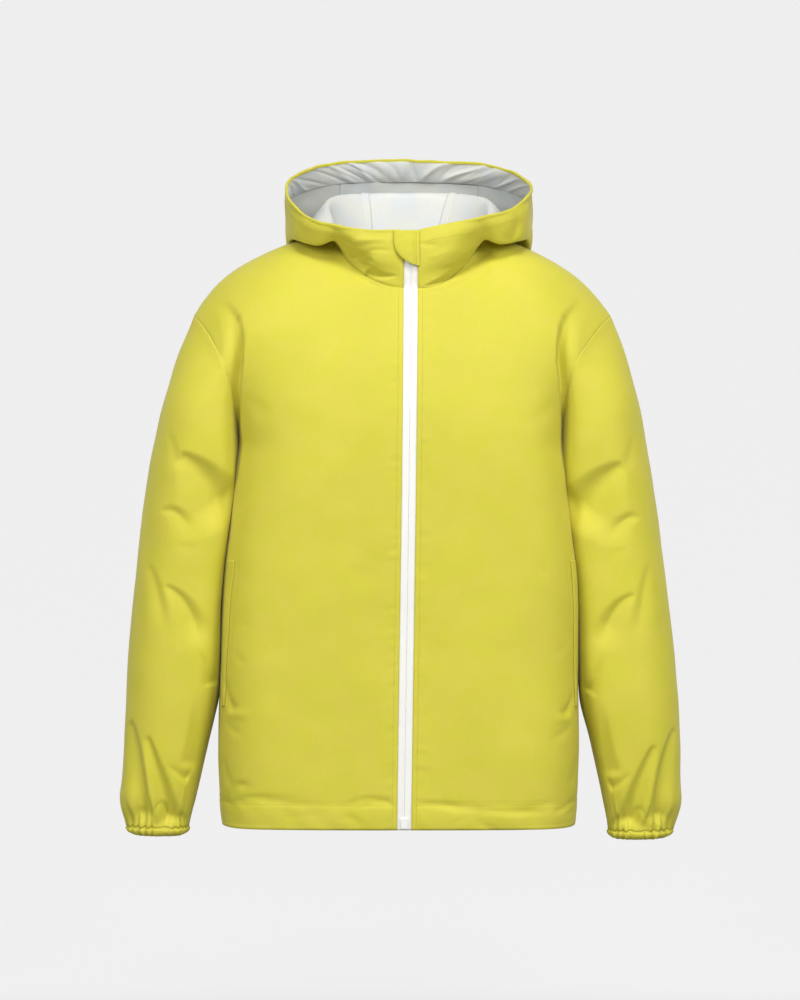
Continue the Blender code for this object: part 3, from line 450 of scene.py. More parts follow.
frontSleeveFolds = [
    (-265, -237, -232, -269, -202, -326, 18, 47.8, 76.5, 1, 3, 0.04, 0.3),
    (-288, -306, -267, -306, -246, -339, 6.5, 15.5, 31.1, 1, 1, 0.1, 0.5),
    (-283, -393, -255, -417, -236, -470, 10, 19.1, 40.7, 1, 1, 0.08, 0.35),
    (-243, -467, -232, -491, -225, -513, 3.6, 14.3, 12, -1, 0.8, 0.3, 0.08),
    (-304, -364, -292, -400, -280, -463, 4.4, 15.5, 21.5, 1, 2, 0.2, 0.4),
    (-279, -201, -271, -231, -265, -257, 2.2, 12, 14.3, 1, 2.5, 0.3, 0.35),
    (-273, -348, -257, -345, -242, -349, 1.2, 16.7, 7.2, -1, 1.5, 0.3, 0.4),
    (-244, -518, -245, -571, -252, -616, 4, 17.9, 9.6, -1, 3, 0.3, 0.15),
    (-280, -606, -267, -618, -253, -626, 3.4, 16.7, 7.2, 1, 0.8, 0.2, 0.08),
    (-325, -556, -319, -596, -310, -683, 10.5, 15.5, 16.7, 1, 3, 0.06, 0.08),
    (-334, -643, -329, -663, -318, -683, 2.2, 7.2, 7.2, 1, 0.8, 0.2, 0.12),
    (-304, -573, -292, -618, -274, -685, 12, 17.9, 19.1, 1, 3, 0.06, 0.08),
    (-299, -677, -287, -656, -275, -684, 3.4, 7.2, 6, -1, 0.8, 0.2, 0.2),
    (-307, -637, -299, -663, -292, -686, 3.2, 7.2, 7.2, 1, 0.7, 0.15, 0.1),
    (-320, -662, -312, -668, -302, -685, 2.4, 6, 7.2, 1, 0.6, 0.15, 0.15),
    (-269, -685, -262, -669, -253, -686, 1.8, 6, 4.8, -1, 0.6, 0.2, 0.2),
    (-255, -624, -261, -645, -269, -683, -1, 3, 3, 1, 0.4, 0.1, 0.1),
    (-220, -50, -224, -61, -226, -70, 1.2, 4.8, 4.8, 1, 0.8, 0.2, 0.4),
    (-233, -66, -234, -78, -230, -91, 0.9, 6, 6, 1, 1.5, 0.3, 0.4),
    (268, -249, 236, -278, 206, -331, 18, 47.8, 76.5, -1, 3, 0.04, 0.3),
    (289, -314, 269, -314, 246, -348, 6.5, 15.5, 31.1, -1, 1, 0.1, 0.5),
    (283, -403, 256, -424, 238, -472, 10, 19.1, 40.7, -1, 1, 0.08, 0.35),
    (244, -476, 236, -500, 225, -522, 3.6, 14.3, 12, 1, 0.8, 0.3, 0.08),
    (300, -364, 292, -405, 282, -470, 4.4, 15.5, 21.5, -1, 2, 0.2, 0.4),
    (283, -201, 277, -231, 271, -257, 2.2, 12, 14.3, -1, 2.5, 0.3, 0.35),
    (279, -350, 263, -351, 246, -354, 1.2, 16.7, 7.2, 1, 1.5, 0.3, 0.4),
    (243, -534, 245, -583, 253, -625, 4, 17.9, 9.6, 1, 3, 0.3, 0.15),
    (279, -616, 265, -629, 251, -637, 3.4, 16.7, 7.2, -1, 0.8, 0.2, 0.08),
    (331, -565, 320, -608, 312, -683, 10.5, 15.5, 16.7, -1, 3, 0.06, 0.08),
    (332, -654, 328, -671, 319, -686, 2.2, 7.2, 7.2, -1, 0.8, 0.2, 0.12),
    (306, -584, 291, -625, 273, -687, 12, 17.9, 19.1, -1, 3, 0.06, 0.08),
    (299, -684, 288, -662, 280, -686, 3.4, 7.2, 6, 1, 0.8, 0.2, 0.2),
    (307, -644, 299, -668, 293, -688, 3.2, 7.2, 7.2, -1, 0.7, 0.15, 0.1),
    (317, -663, 311, -674, 304, -688, 2.4, 6, 7.2, -1, 0.6, 0.15, 0.15),
    (270, -687, 262, -672, 255, -688, 1.8, 6, 4.8, 1, 0.6, 0.2, 0.2),
    (251, -636, 259, -659, 270, -688, -1, 3, 3, -1, 0.4, 0.1, 0.1),
    (227, -50, 230, -61, 232, -70, 1.2, 4.8, 4.8, -1, 0.8, 0.2, 0.4),
]
neckFolds = [
    (-66, 22, -60, 5, -37, -10, 10, 14.3, 8.3, 1, 1.5, 0.08, 0.04),
    (-26, 11, -43, 3, -60, 2, 5, 10.7, 7.2, -1, 1.2, 0.1, 0.1),
    (-7, 20, -41, 20, -57, 16, -3, 9.5, 8.3, 1, 1.2, 0.3, 0.1),
    (-2, -21, -21, -23, -41, -16, 7, 10.7, 8.3, -1, 0.7, 0.2, 0.08),
    (-19, -35, -41, -27, -60, -7, 3.5, 10.7, 7.2, -1, 0.8, 0.3, 0.1),
    (-33, 5, -21, 8, -8, 5, 1.2, 6, 6, 1, 1, 0.3, 0.4),
    (-98, 60, -83, 41, -74, 23, 2.6, 10.7, 10.7, 1, 1.5, 0.3, 0.1),
    (-124, 61, -119, 36, -112, 17, 2, 9.5, 9.5, 1, 2, 0.3, 0.1),
    (31, -34, 68, -19, 110, 16, 11, 15.5, 16.7, 1, 0.7, 0.04, 0.05),
    (48, -35, 76, -28, 114, -7, 4.5, 10.7, 9.5, 1, 0.8, 0.15, 0.15),
    (48, -11, 74, -1, 100, 20, -2.2, 9.5, 9.5, -1, 2, 0.2, 0.3),
    (91, 53, 100, 36, 107, 18, 2.8, 13.1, 13.1, -1, 1.2, 0.2, 0.05),
    (136, 62, 141, 41, 130, 16, 5.5, 10.7, 13.1, 1, 0.8, 0.1, 0.15),
    (23, 20, 33, 14, 48, 17, 1.8, 7.2, 7.2, -1, 1, 0.2, 0.4),
    (29, -1, 48, 3, 74, 14, -1.4, 9.5, 9.5, -1, 2, 0.3, 0.4),
]
backFolds = [
    (-196, -118, -182, -166, -186, -226, 4.0, 20, 10, -1, 1, 0.2, 0.3),
    (198, -114, 184, -168, 186, -228, 4.4, 20, 10, 1, 1, 0.2, 0.3),
    (-170, -240, -120, -300, -60, -420, 1.6, 26, 34, 1, 7, 0.4, 0.4),
    (168, -250, 104, -340, 70, -470, 1.8, 26, 32, -1, 7, 0.4, 0.4),
    (-120, -60, -60, -92, 30, -90, 1.4, 18, 20, 1, 5, 0.3, 0.5),
    (-70, -420, 10, -432, 96, -418, 1.0, 9, 9, 1, 3, 0.4, 0.4),
    (-206, -640, -150, -646, -84, -654, 2.4, 9, 7, 1, 0.8, 0.2, 0.4),
    (204, -644, 150, -650, 96, -654, 2.2, 9, 7, -1, 0.8, 0.2, 0.4),
    (-40, -652, 6, -655, 60, -651, 1.6, 7, 6, 1, 0.9, 0.3, 0.4),
    (-30, -672, -12, -665, 16, -676, 1.4, 7, 6, -1, 1, 0.3, 0.3),
    (212, -560, 190, -580, 150, -584, 1.8, 12, 10, -1, 2, 0.3, 0.4),
]
backSleeveFolds = [
    (-280, -236, -250, -262, -226, -312, 6.0, 20, 30, 1, 0.8, 0.08, 0.25),
    (-300, -318, -276, -330, -254, -368, 3.6, 14, 20, 1, 0.8, 0.1, 0.4),
    (-296, -404, -268, -432, -248, -492, 4.8, 15, 24, 1, 0.8, 0.08, 0.3),
    (-318, -380, -306, -424, -296, -480, 2.6, 12, 14, 1, 2, 0.2, 0.4),
    (-326, -580, -314, -616, -306, -672, 4.2, 11, 13, 1, 0.8, 0.06, 0.12),
    (-300, -600, -288, -634, -276, -680, 4.8, 12, 14, 1, 0.8, 0.08, 0.1),
    (-262, -560, -266, -600, -262, -640, 1.8, 12, 10, -1, 2.5, 0.3, 0.3),
    (282, -244, 252, -270, 230, -320, 6.0, 20, 30, -1, 0.8, 0.08, 0.25),
    (302, -330, 280, -340, 256, -380, 3.4, 14, 20, -1, 0.8, 0.1, 0.4),
    (298, -412, 270, -444, 250, -500, 4.8, 15, 24, -1, 0.8, 0.08, 0.3),
    (318, -386, 308, -430, 298, -486, 2.6, 12, 14, -1, 2, 0.2, 0.4),
    (326, -586, 314, -624, 306, -678, 4.2, 11, 13, -1, 0.8, 0.06, 0.12),
    (302, -604, 290, -640, 278, -684, 4.8, 12, 14, -1, 0.8, 0.08, 0.1),
]


def wrinkled(grid, normal, frontRows, backRows, seed, relief=0.9):
    x, z = grid[..., 0], grid[..., 2]
    front, back = ease(-normal[..., 1], 0.0, 0.4), ease(normal[..., 1], 0.0, 0.4)
    lift = creases(x, z, frontRows) * front + creases(x, z, backRows) * back
    lift += relief * (0.8 * uneven(grid, 170, seed) + 0.35 * uneven(grid, 62, seed + 1))
    return lift


def pressed(grid):
    # the fronts and the hood's collar fold together, so both are pushed straight back by the same amount
    near = ease(-grid[..., 1], 15, 45) * ease(grid[..., 2], -75, -55)
    return grid - vec(0, creases(grid[..., 0], grid[..., 2], neckFolds) * near, 0)


# colours and finishes
finishes = {
    "shell": dict(colour=(0.628, 0.568, 0.060), second=(0.612, 0.568, 0.050), roughness=0.68, sheen=0.10, weave=0.00042, grain=0.10),
    "inside": dict(colour=(0.61, 0.635, 0.63), second=(0.64, 0.645, 0.59), roughness=0.45, sheen=0.05, weave=0.0005, grain=0.06),
    "tape": dict(colour=(0.84, 0.84, 0.81), second=(0.85, 0.84, 0.80), roughness=0.55, sheen=0.1, weave=0.0007, grain=0.10),
    "thread": dict(colour=(0.560, 0.510, 0.040), roughness=0.6),
    "moulded": dict(colour=(0.86, 0.86, 0.83), roughness=0.34),
}


def newMaterial(name):
    material = bpy.data.materials.new(name)
    material.use_nodes = True
    return material, material.node_tree.nodes, material.node_tree.links, material.node_tree.nodes["Principled BSDF"]


def clothMaterial(name):
    look = finishes[name]
    material, nodes, links, shader = newMaterial(name + "Cloth")
    shader.inputs["Roughness"].default_value = look["roughness"]
    shader.inputs["Sheen Weight"].default_value = look["sheen"]
    shader.inputs["Sheen Roughness"].default_value = 0.4
    shader.inputs["Specular IOR Level"].default_value = 0.28
    place = nodes.new("ShaderNodeTexCoord")
    threads = nodes.new("ShaderNodeMapping")
    threads.inputs["Scale"].default_value = (1 / look["weave"], 1 / look["weave"], 1)
    links.new(place.outputs["UV"], threads.inputs["Vector"])
    # over-and-under threads
    heights = []
    for axis, turn in (("X", 0), ("Y", 1)):
        wave = nodes.new("ShaderNodeTexWave")
        wave.wave_type, wave.bands_direction, wave.wave_profile = "BANDS", axis, "SIN"
        wave.inputs["Scale"].default_value = 0.314
        wave.inputs["Distortion"].default_value = 0.6
        wave.inputs["Detail Scale"].default_value = 0.4
        links.new(threads.outputs["Vector"], wave.inputs["Vector"])
        heights.append(wave.outputs["Fac"])
    weave = nodes.new("ShaderNodeMath")
    weave.operation = "MULTIPLY"
    links.new(heights[0], weave.inputs[0])
    links.new(heights[1], weave.inputs[1])
    # broad unevenness of the dye and fine grain
    broad = nodes.new("ShaderNodeTexNoise")
    broad.inputs["Scale"].default_value = 9.0
    broad.inputs["Detail"].default_value = 3.0
    links.new(place.outputs["Object"], broad.inputs["Vector"])
    fine = nodes.new("ShaderNodeTexNoise")
    fine.inputs["Scale"].default_value = 620.0
    fine.inputs["Detail"].default_value = 4.0
    links.new(place.outputs["Object"], fine.inputs["Vector"])
    tone = nodes.new("ShaderNodeMapRange")
    tone.inputs["From Min"].default_value, tone.inputs["From Max"].default_value = 0.3, 0.7
    tone.inputs["To Min"].default_value, tone.inputs["To Max"].default_value = 0.965, 1.03
    links.new(broad.outputs["Fac"], tone.inputs["Value"])
    speck = nodes.new("ShaderNodeMapRange")
    speck.inputs["From Min"].default_value, speck.inputs["From Max"].default_value = 0.3, 0.7
    speck.inputs["To Min"].default_value, speck.inputs["To Max"].default_value = 0.975, 1.02
    links.new(fine.outputs["Fac"], speck.inputs["Value"])
    both = nodes.new("ShaderNodeMath")
    both.operation = "MULTIPLY"
    links.new(tone.outputs["Result"], both.inputs[0])
    links.new(speck.outputs["Result"], both.inputs[1])
    colour = nodes.new("ShaderNodeMix")
    colour.data_type, colour.blend_type = "RGBA", "MULTIPLY"
    colour.inputs["Factor"].default_value = 1.0
    patches = nodes.new("ShaderNodeTexNoise")
    patches.inputs["Scale"].default_value = 34.0
    patches.inputs["Detail"].default_value = 4.0
    links.new(place.outputs["Object"], patches.inputs["Vector"])
    dye = nodes.new("ShaderNodeMix")
    dye.data_type = "RGBA"
    dye.inputs["A"].default_value, dye.inputs["B"].default_value = (*look["colour"], 1), (*look["second"], 1)
    spread = nodes.new("ShaderNodeMapRange")
    spread.inputs["From Min"].default_value, spread.inputs["From Max"].default_value = 0.42, 0.58
    links.new(patches.outputs["Fac"], spread.inputs["Value"])
    links.new(spread.outputs["Result"], dye.inputs["Factor"])
    links.new(dye.outputs["Result"], colour.inputs["A"])
    links.new(both.outputs["Value"], colour.inputs["B"])
    links.new(colour.outputs["Result"], shader.inputs["Base Color"])
    rough = nodes.new("ShaderNodeMapRange")
    rough.inputs["To Min"].default_value = look["roughness"] - 0.05
    rough.inputs["To Max"].default_value = look["roughness"] + 0.05
    links.new(fine.outputs["Fac"], rough.inputs["Value"])
    links.new(rough.outputs["Result"], shader.inputs["Roughness"])
    relief = nodes.new("ShaderNodeMath")
    relief.operation = "MULTIPLY_ADD"
    relief.inputs[1].default_value = 0.7
    links.new(fine.outputs["Fac"], relief.inputs[0])
    links.new(weave.outputs["Value"], relief.inputs[2])
    bump = nodes.new("ShaderNodeBump")
    bump.inputs["Strength"].default_value = look["grain"]
    bump.inputs["Distance"].default_value = 0.0004
    links.new(relief.outputs["Value"], bump.inputs["Height"])
    links.new(bump.outputs["Normal"], shader.inputs["Normal"])
    return material


def plainMaterial(name, grain=0.15, size=900.0):
    look = finishes[name]
    material, nodes, links, shader = newMaterial(name + "Finish")
    shader.inputs["Roughness"].default_value = look["roughness"]
    shader.inputs["Specular IOR Level"].default_value = 0.45
    place = nodes.new("ShaderNodeTexCoord")
    noise = nodes.new("ShaderNodeTexNoise")
    noise.inputs["Scale"].default_value = size
    noise.inputs["Detail"].default_value = 3.0
    links.new(place.outputs["Object"], noise.inputs["Vector"])
    tone = nodes.new("ShaderNodeMapRange")
    tone.inputs["To Min"].default_value, tone.inputs["To Max"].default_value = 0.93, 1.05
    links.new(noise.outputs["Fac"], tone.inputs["Value"])
    colour = nodes.new("ShaderNodeMix")
    colour.data_type, colour.blend_type = "RGBA", "MULTIPLY"
    colour.inputs["Factor"].default_value = 1.0
    colour.inputs["A"].default_value = (*look["colour"], 1)
    links.new(tone.outputs["Result"], colour.inputs["B"])
    links.new(colour.outputs["Result"], shader.inputs["Base Color"])
    bump = nodes.new("ShaderNodeBump")
    bump.inputs["Strength"].default_value = grain
    bump.inputs["Distance"].default_value = 0.0001
    links.new(noise.outputs["Fac"], bump.inputs["Height"])
    links.new(bump.outputs["Normal"], shader.inputs["Normal"])
    return material


shellCloth = clothMaterial("shell")
insideCloth = clothMaterial("inside")
tapeCloth = clothMaterial("tape")
threadFinish = plainMaterial("thread")
mouldedFinish = plainMaterial("moulded", grain=0.08, size=350.0)
print("finishes made")


# meshes
def addSheet(name, grid, materials, wall, closed=False, flip=False, replaced=()):
    rows, columns = grid.shape[:2]
    index = np.arange(rows * columns).reshape(rows, columns)
    across, along = runs(np.concatenate([grid, grid[:, :1]], 1) if closed else grid)
    if closed:
        index = np.concatenate([index, index[:, :1]], 1)
    corners = [index[:-1, :-1], index[:-1, 1:], index[1:, 1:], index[1:, :-1]]
    places = [(slice(None, -1), slice(None, -1)), (slice(None, -1), slice(1, None)), (slice(1, None), slice(1, None)),
              (slice(1, None), slice(None, -1))]
    uvs = [np.stack([across[p], along[p]], -1) * mm for p in places]
    faces, uvs = np.stack(corners, -1).reshape(-1, 4), np.stack(uvs, -2).reshape(-1, 4, 2)
    if flip:
        faces, uvs = faces[:, ::-1], uvs[:, ::-1]
    mesh = bpy.data.meshes.new(name)
    mesh.from_pydata((grid.reshape(-1, 3) * mm).tolist(), [], faces.tolist())
    layer = mesh.uv_layers.new(name="cloth")
    layer.data.foreach_set("uv", uvs.reshape(-1).astype(np.float32))
    for material in materials:
        mesh.materials.append(material)
    mesh.shade_smooth()
    thing = bpy.data.objects.new(name, mesh)
    bpy.context.scene.collection.objects.link(thing)
    if wall > 0:
        solid = thing.modifiers.new("wall", "SOLIDIFY")
        solid.thickness, solid.offset = wall * mm, -1
        if len(materials) > 1:
            solid.material_offset = 1
            solid.material_offset_rim = 0
    finishPiece(thing, replaced)
    return thing


def finishPiece(thing, replaced=()):
    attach(thing, "root")
    if replaced:
        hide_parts(*replaced)


def addMany(name, shapePoints, shapeFaces, places, material, slot):
    # one joined mesh of a small shape set at many places; places is an array of 3x4 frames
    shape = np.asarray(shapePoints, float)
    points = np.einsum("nij,kj->nki", places[:, :, :3], shape) + places[:, None, :, 3]
    count = len(shape)
    faces = [[i + n * count for i in face] for n in range(len(places)) for face in shapeFaces]
    mesh = bpy.data.meshes.new(name)
    mesh.from_pydata((points.reshape(-1, 3) * mm).tolist(), [], faces)
    mesh.materials.append(material)
    mesh.shade_smooth()
    thing = bpy.data.objects.new(name, mesh)
    bpy.context.scene.collection.objects.link(thing)
    finishPiece(thing)
    return thing


# the size of a stitch and its shape
stitchSizes = dict(length=2.7, gap=0.9, half=0.24, lift=0.08)
stitchShape = ([(-0.5, 0, -0.6), (-0.3, -1, 0.1), (-0.3, 1, 0.1), (-0.3, 0, 1), (0.3, -1, 0.1), (0.3, 1, 0.1), (0.3, 0, 1),
                (0.5, 0, -0.6)],
               [(0, 2, 1), (0, 1, 3), (0, 3, 2), (1, 4, 6, 3), (3, 6, 5, 2), (1, 2, 5, 4), (7, 4, 5), (7, 6, 4), (7, 5, 6)])


def stitchPlaces(line, normal, length=None, gap=None):
    length, gap = length or stitchSizes["length"], gap or stitchSizes["gap"]
    steps = np.concatenate([[0], np.cumsum(np.linalg.norm(np.diff(line, axis=0), axis=-1))])
    starts = np.arange(0, steps[-1] - length, length + gap)
    at = lambda s, values: np.stack([np.interp(s, steps, values[:, i]) for i in range(3)], -1)
    first, last, up = at(starts, line), at(starts + length, line), at(starts + length / 2, normal)
    along = last - first
    up = unit(up)
    side = unit(np.cross(up, along))
    half = stitchSizes["half"]
    middle = (first + last) / 2 + up * stitchSizes["lift"]
    return np.stack([along, side * half, up * half, middle], -1)


stitchRows = {"yellow": [], "white": []}


def stitch(line, normal, colour="yellow", **sizes):
    stitchRows[colour].append(stitchPlaces(line, normal, **sizes))


def pick(grid, normal, rowAt, columnAt):
    # points and normals of a grid at fractional places
    rows, columns = grid.shape[:2]
    r, c = np.clip(rowAt, 0, rows - 1.001), np.clip(columnAt, 0, columns - 1.001)
    i, j = r.astype(int), c.astype(int)
    fr, fc = (r - i)[..., None], (c - j)[..., None]
    blend = lambda g: ((g[i, j] * (1 - fr) + g[i + 1, j] * fr) * (1 - fc) + (g[i, j + 1] * (1 - fr) + g[i + 1, j + 1] * fr) * fc)
    return blend(grid), unit(blend(normal))


# body panels
bodyLook = dict(columns=84, lowRows=150, topRows=74, hemBand=30.0, hemPuff=1.1, hemGroove=0.8, zipStitch=6.0, edgeRoll=0.3,
                zipPucker=0.7, seamSwell=0.35)
bodyShares = np.concatenate([np.linspace(0, form["chestRow"], bodyLook["lowRows"] + 1)[:-1],
                             np.linspace(form["chestRow"], 1, bodyLook["topRows"] + 1)])
panels = {}


def bodyColumns(side, face):
    # closer together near the panel's two sides
    rough = bodyPlain(side, face, np.linspace(0, 1, 200), np.full(200, 0.3))
    even = np.linspace(0, 1, bodyLook["columns"] + 1)
    return np.interp(even - 0.08 * np.sin(2 * math.pi * even), even, evenShares(rough, bodyLook["columns"] + 1))


def bodyGrid(side, face):
    us = bodyColumns(side, face)
    grid = bodyPlain(side, face, us[None, :], bodyShares[:, None])
    edges = grid.copy()
    grid = soften(grid, 16)
    grid[0], grid[-1], grid[:, 0], grid[:, -1] = edges[0], edges[-1], edges[:, 0], edges[:, -1]
    return hang(side, grid + vec(0, chestFold(grid), 0))


def seamSwell(lift, gap, run):
    # the relief runs out on a seam, with a soft, puckered swell beside it
    pucker = 1 + 0.7 * unevenAlong(run, 13, 5)
    swell = (1 - np.exp(-(gap / 1.9) ** 2)) * np.exp(-(gap / 9) ** 2) * pucker
    return lift * ease(gap, 0, 5) + bodyLook["seamSwell"] * swell


def bodySeams(lift, across, along):
    lift = seamSwell(lift, across[:, -1:] - across, along)
    return seamSwell(lift, along[-1:] - along, across)


def hemLift(grid, seed):
    # a turned-up band over the hem: a groove at its stitching and a soft, uneven roll under it
    z = grid[..., 2] - form["hemZ"]
    band = bodyLook["hemBand"]
    wave = unevenAlong(grid[..., 0] + 0.4 * z, 46, seed)
    puff = bodyLook["hemPuff"] * np.sin(np.clip(z / band, 0, 1) * math.pi) ** 0.8 * (1 + 0.8 * wave)
    groove = -bodyLook["hemGroove"] * np.exp(-((z - band) / 1.3) ** 2)
    pucker = 0.5 * unevenAlong(grid[..., 0] + grid[..., 1] + 0.25 * z, 13, seed + 3) * np.exp(-((z - band) / 6) ** 2)
    return puff + groove + pucker


for side, name in ((-1, "Right"), (1, "Left")):
    grid = bodyGrid(side, "front")
    normal = normalsOf(grid, side < 0)
    across, along = runs(grid)
    lift = wrinkled(grid, normal, frontBodyFolds, [], 11 + side)
    lift = bodySeams(lift + hemLift(grid, 21 + side), across, along)
    # puckers where the front is sewn to the zip
    toZip = across
    pucker = unevenAlong(grid[..., 2] + 0.2 * toZip, 15, 31 + side) + 0.6 * unevenAlong(grid[..., 2], 6, 37 + side)
    lift += bodyLook["zipPucker"] * pucker * np.exp(-(toZip / 13) ** 2) * ease(toZip, 0, 5)
    lift -= 0.35 * np.exp(-((toZip - bodyLook["zipStitch"]) / 1.1) ** 2)
    settle = ease(toZip, 0, 14)
    lift *= 0.35 + 0.65 * settle
    lift -= bodyLook["edgeRoll"] * np.exp(-(toZip / 1.2) ** 2)
    grid = pressed(grid + normal * lift[..., None])
    panels["front" + name] = (grid, normalsOf(grid, side < 0))
    piece = addSheet("front" + name, grid, [shellCloth, insideCloth], form["wall"], flip=side < 0,
                     replaced=["front_" + name.lower()])
    columnAt = np.array([np.interp(bodyLook["zipStitch"], row, np.arange(len(row))) for row in across])
    line, up = pick(*panels["front" + name], np.arange(grid.shape[0]), columnAt)
    stitch(line, up)
    rowAt = np.array([np.interp(bodyLook["hemBand"], along[:, c], np.arange(len(along))) for c in range(grid.shape[1])])
    line, up = pick(*panels["front" + name], rowAt, np.arange(grid.shape[1]))
    stitch(line, up)

halves = []
for side in (1, -1):
    grid = bodyGrid(side, "back")
    halves.append(grid)
grid = np.concatenate([halves[0][:, :0:-1], halves[1]], 1)
middle = halves[0].shape[1] - 1
smooth = grid.copy()
for k in range(30):
    smooth[:, middle - 12:middle + 13] = (smooth[:, middle - 13:middle + 12] + 2 * smooth[:, middle - 12:middle + 13]
                                          + smooth[:, middle - 11:middle + 14]) / 4
grid = smooth
normal = normalsOf(grid, False)
across, along = runs(grid)
lift = wrinkled(grid, normal, [], backFolds, 51)
lift = bodySeams(lift + hemLift(grid, 61), across, along)
lift = seamSwell(lift, across, along)
grid = grid + normal * lift[..., None]
panels["back"] = (grid, normalsOf(grid, False))
addSheet("backPanel", grid, [shellCloth, insideCloth], form["wall"], replaced=["back"])
rowAt = np.array([np.interp(bodyLook["hemBand"], along[:, c], np.arange(len(along))) for c in range(grid.shape[1])])
stitch(*pick(*panels["back"], rowAt, np.arange(grid.shape[1])))
print("body panels made")

# sleeves and cuffs
sleeveLook = dict(columns=168, rows=224, gatherDepth=2.4, gatherReach=(0.3, 1.1))


def gatherLift(turn, row, seed):
    # uneven gathers that run up from the elastic
    count = form["gathers"]
    rng = np.random.default_rng(seed)
    amount, reach = rng.uniform(0.45, 1.25, count + 1), rng.uniform(*sleeveLook["gatherReach"], count + 1)
    shift = rng.uniform(-0.22, 0.22, count + 1)
    amount[-1], reach[-1], shift[-1] = amount[0], reach[0], shift[0]
    at = np.mod(turn, 1.0) * count
    keys = np.arange(count + 1)
    a, r, s = (np.interp(at, keys, values) for values in (amount, reach, shift))
    rise = np.exp(-np.maximum(form["sleeveRows"] - row, 0) / r * 1.15)
    return sleeveLook["gatherDepth"] * a * rise * np.cos(2 * math.pi * (at + s))


sleeveTurns = np.linspace(0, 1, 721)
ring = sleevePlain(1, sleeveTurns, np.full(721, 8.0))
sleeveTurnsEven = evenShares(ring, sleeveLook["columns"] + 1)[:-1]
for side, name in ((-1, "Right"), (1, "Left")):
    path = sleevePlain(side, np.full(400, 0.5), np.linspace(0, 13, 400))
    rowsAt = evenShares(path, sleeveLook["rows"] + 1) * 13
    turns, rowsGrid = np.meshgrid(sleeveTurnsEven, rowsAt)
    grid = sleevePlain(side, turns, rowsGrid)
    first = grid[0].copy()
    smooth = soften(grid, 6, closed=True)
    keep = ease(rowsGrid, 0.0, 0.6)[..., None]
    grid = grid * (1 - keep) + smooth * keep
    normal = normalsOf(grid, side > 0, closed=True)
    inner = 1 - ease(np.abs(grid[..., 0]) - bodySide(grid[..., 1], grid[..., 2]), 2.0, 9.0)
    lift = wrinkled(grid, normal, frontSleeveFolds, backSleeveFolds, 71 + side)
    lift *= 1 - inner * np.where(lift > 0, 1, 0.25)
    lift += gatherLift(turns, rowsGrid, 81 + side)
    _, along = runs(grid)
    lift = seamSwell(lift, along, turns * 420)
    # underarm seam along the sleeve
    fromSeam = np.minimum(turns, 1 - turns) * 400
    lift -= 0.7 * np.exp(-(fromSeam / 1.8) ** 2) * ease(rowsGrid, 0.6, 1.2)
    grid = grid + normal * lift[..., None]
    panels["sleeve" + name] = (grid, normalsOf(grid, side > 0, closed=True))
    addSheet("sleeve" + name, grid, [shellCloth, insideCloth], form["wall"], closed=True, flip=side > 0,
             replaced=["sleeve_" + name.lower()])

cuffLook = dict(columns=264, rows=14, gatherDepth=1.5, frill=0.95, middleX=294.5)
for side, name in ((-1, "Right"), (1, "Left")):
    turns, shares = np.meshgrid(np.linspace(0, 1, cuffLook["columns"] + 1)[:-1], np.linspace(0, 1, cuffLook["rows"] + 1))
    z = read(cuffTable, "share", "z", shares)
    grid = oval(side, read(cuffTable, "share", "outX", shares), z, read(cuffTable, "share", "inX", shares), z,
                sleeveTable["midY"][-1] + 0 * shares, read(cuffTable, "share", "depth", shares), turns)
    away = unit(grid - vec(side * cuffLook["middleX"], sleeveTable["midY"][-1], z))
    lift = gatherLift(turns, np.full_like(turns, 13.0), 81 + side) * (0.85 - 0.25 * np.sin(shares * math.pi))
    lift += cuffLook["frill"] * unevenAlong(turns * 300, 5.5, 91 + side) * (0.5 + 0.9 * np.abs(2 * shares - 1))
    lift -= 0.9 * np.exp(-((shares - 0.12) / 0.07) ** 2) - 0.5 * np.sin(shares * math.pi)
    grid = hang(side, grid + away * lift[..., None]) + vec(0, 0, sleeveDrop(side, 13.0))
    last = panels["sleeve" + name][0][-1]
    meet = np.stack([np.interp(turns[0], sleeveTurnsEven, last[:, i], period=1) for i in range(3)], -1)
    grid = mix(meet[None], grid, ease(shares, 0, 0.2))
    panels["cuff" + name] = (grid, normalsOf(grid, side > 0, closed=True))
    addSheet("cuff" + name, grid, [shellCloth, insideCloth], form["wall"], closed=True, flip=side > 0,
             replaced=["cuff_" + name.lower()])
    for share in (0.2, 0.86):
        row = int(share * cuffLook["rows"])
        line, up = panels["cuff" + name][0][row], panels["cuff" + name][1][row]
        stitch(line, up, length=1.8, gap=0.7)
print("sleeves and cuffs made")

# hood
hoodLook = dict(sideColumns=110, centreColumns=64, rows=150, rimWave=0.9)


def hoodLift(grid, normal, around, climb, side, seed):
    relief = 0.9 * uneven(grid, 90, seed) + 0.6 * uneven(grid, 38, seed + 1)
    calm = ease(np.asarray(climb, float), 0.3, 1.4) * (0.35 + 0.65 * ease(around, 0.18, 0.34))
    return relief * calm * 0.9


def hoodGrid(side, arounds):
    reference = hoodPlain(side, np.full(500, 0.62), np.linspace(0, 5, 500))
    climbs = evenShares(reference, hoodLook["rows"] + 1) * 5
    around, climb = np.meshgrid(arounds, climbs)
    return hoodPlain(side, around, climb), around, climb


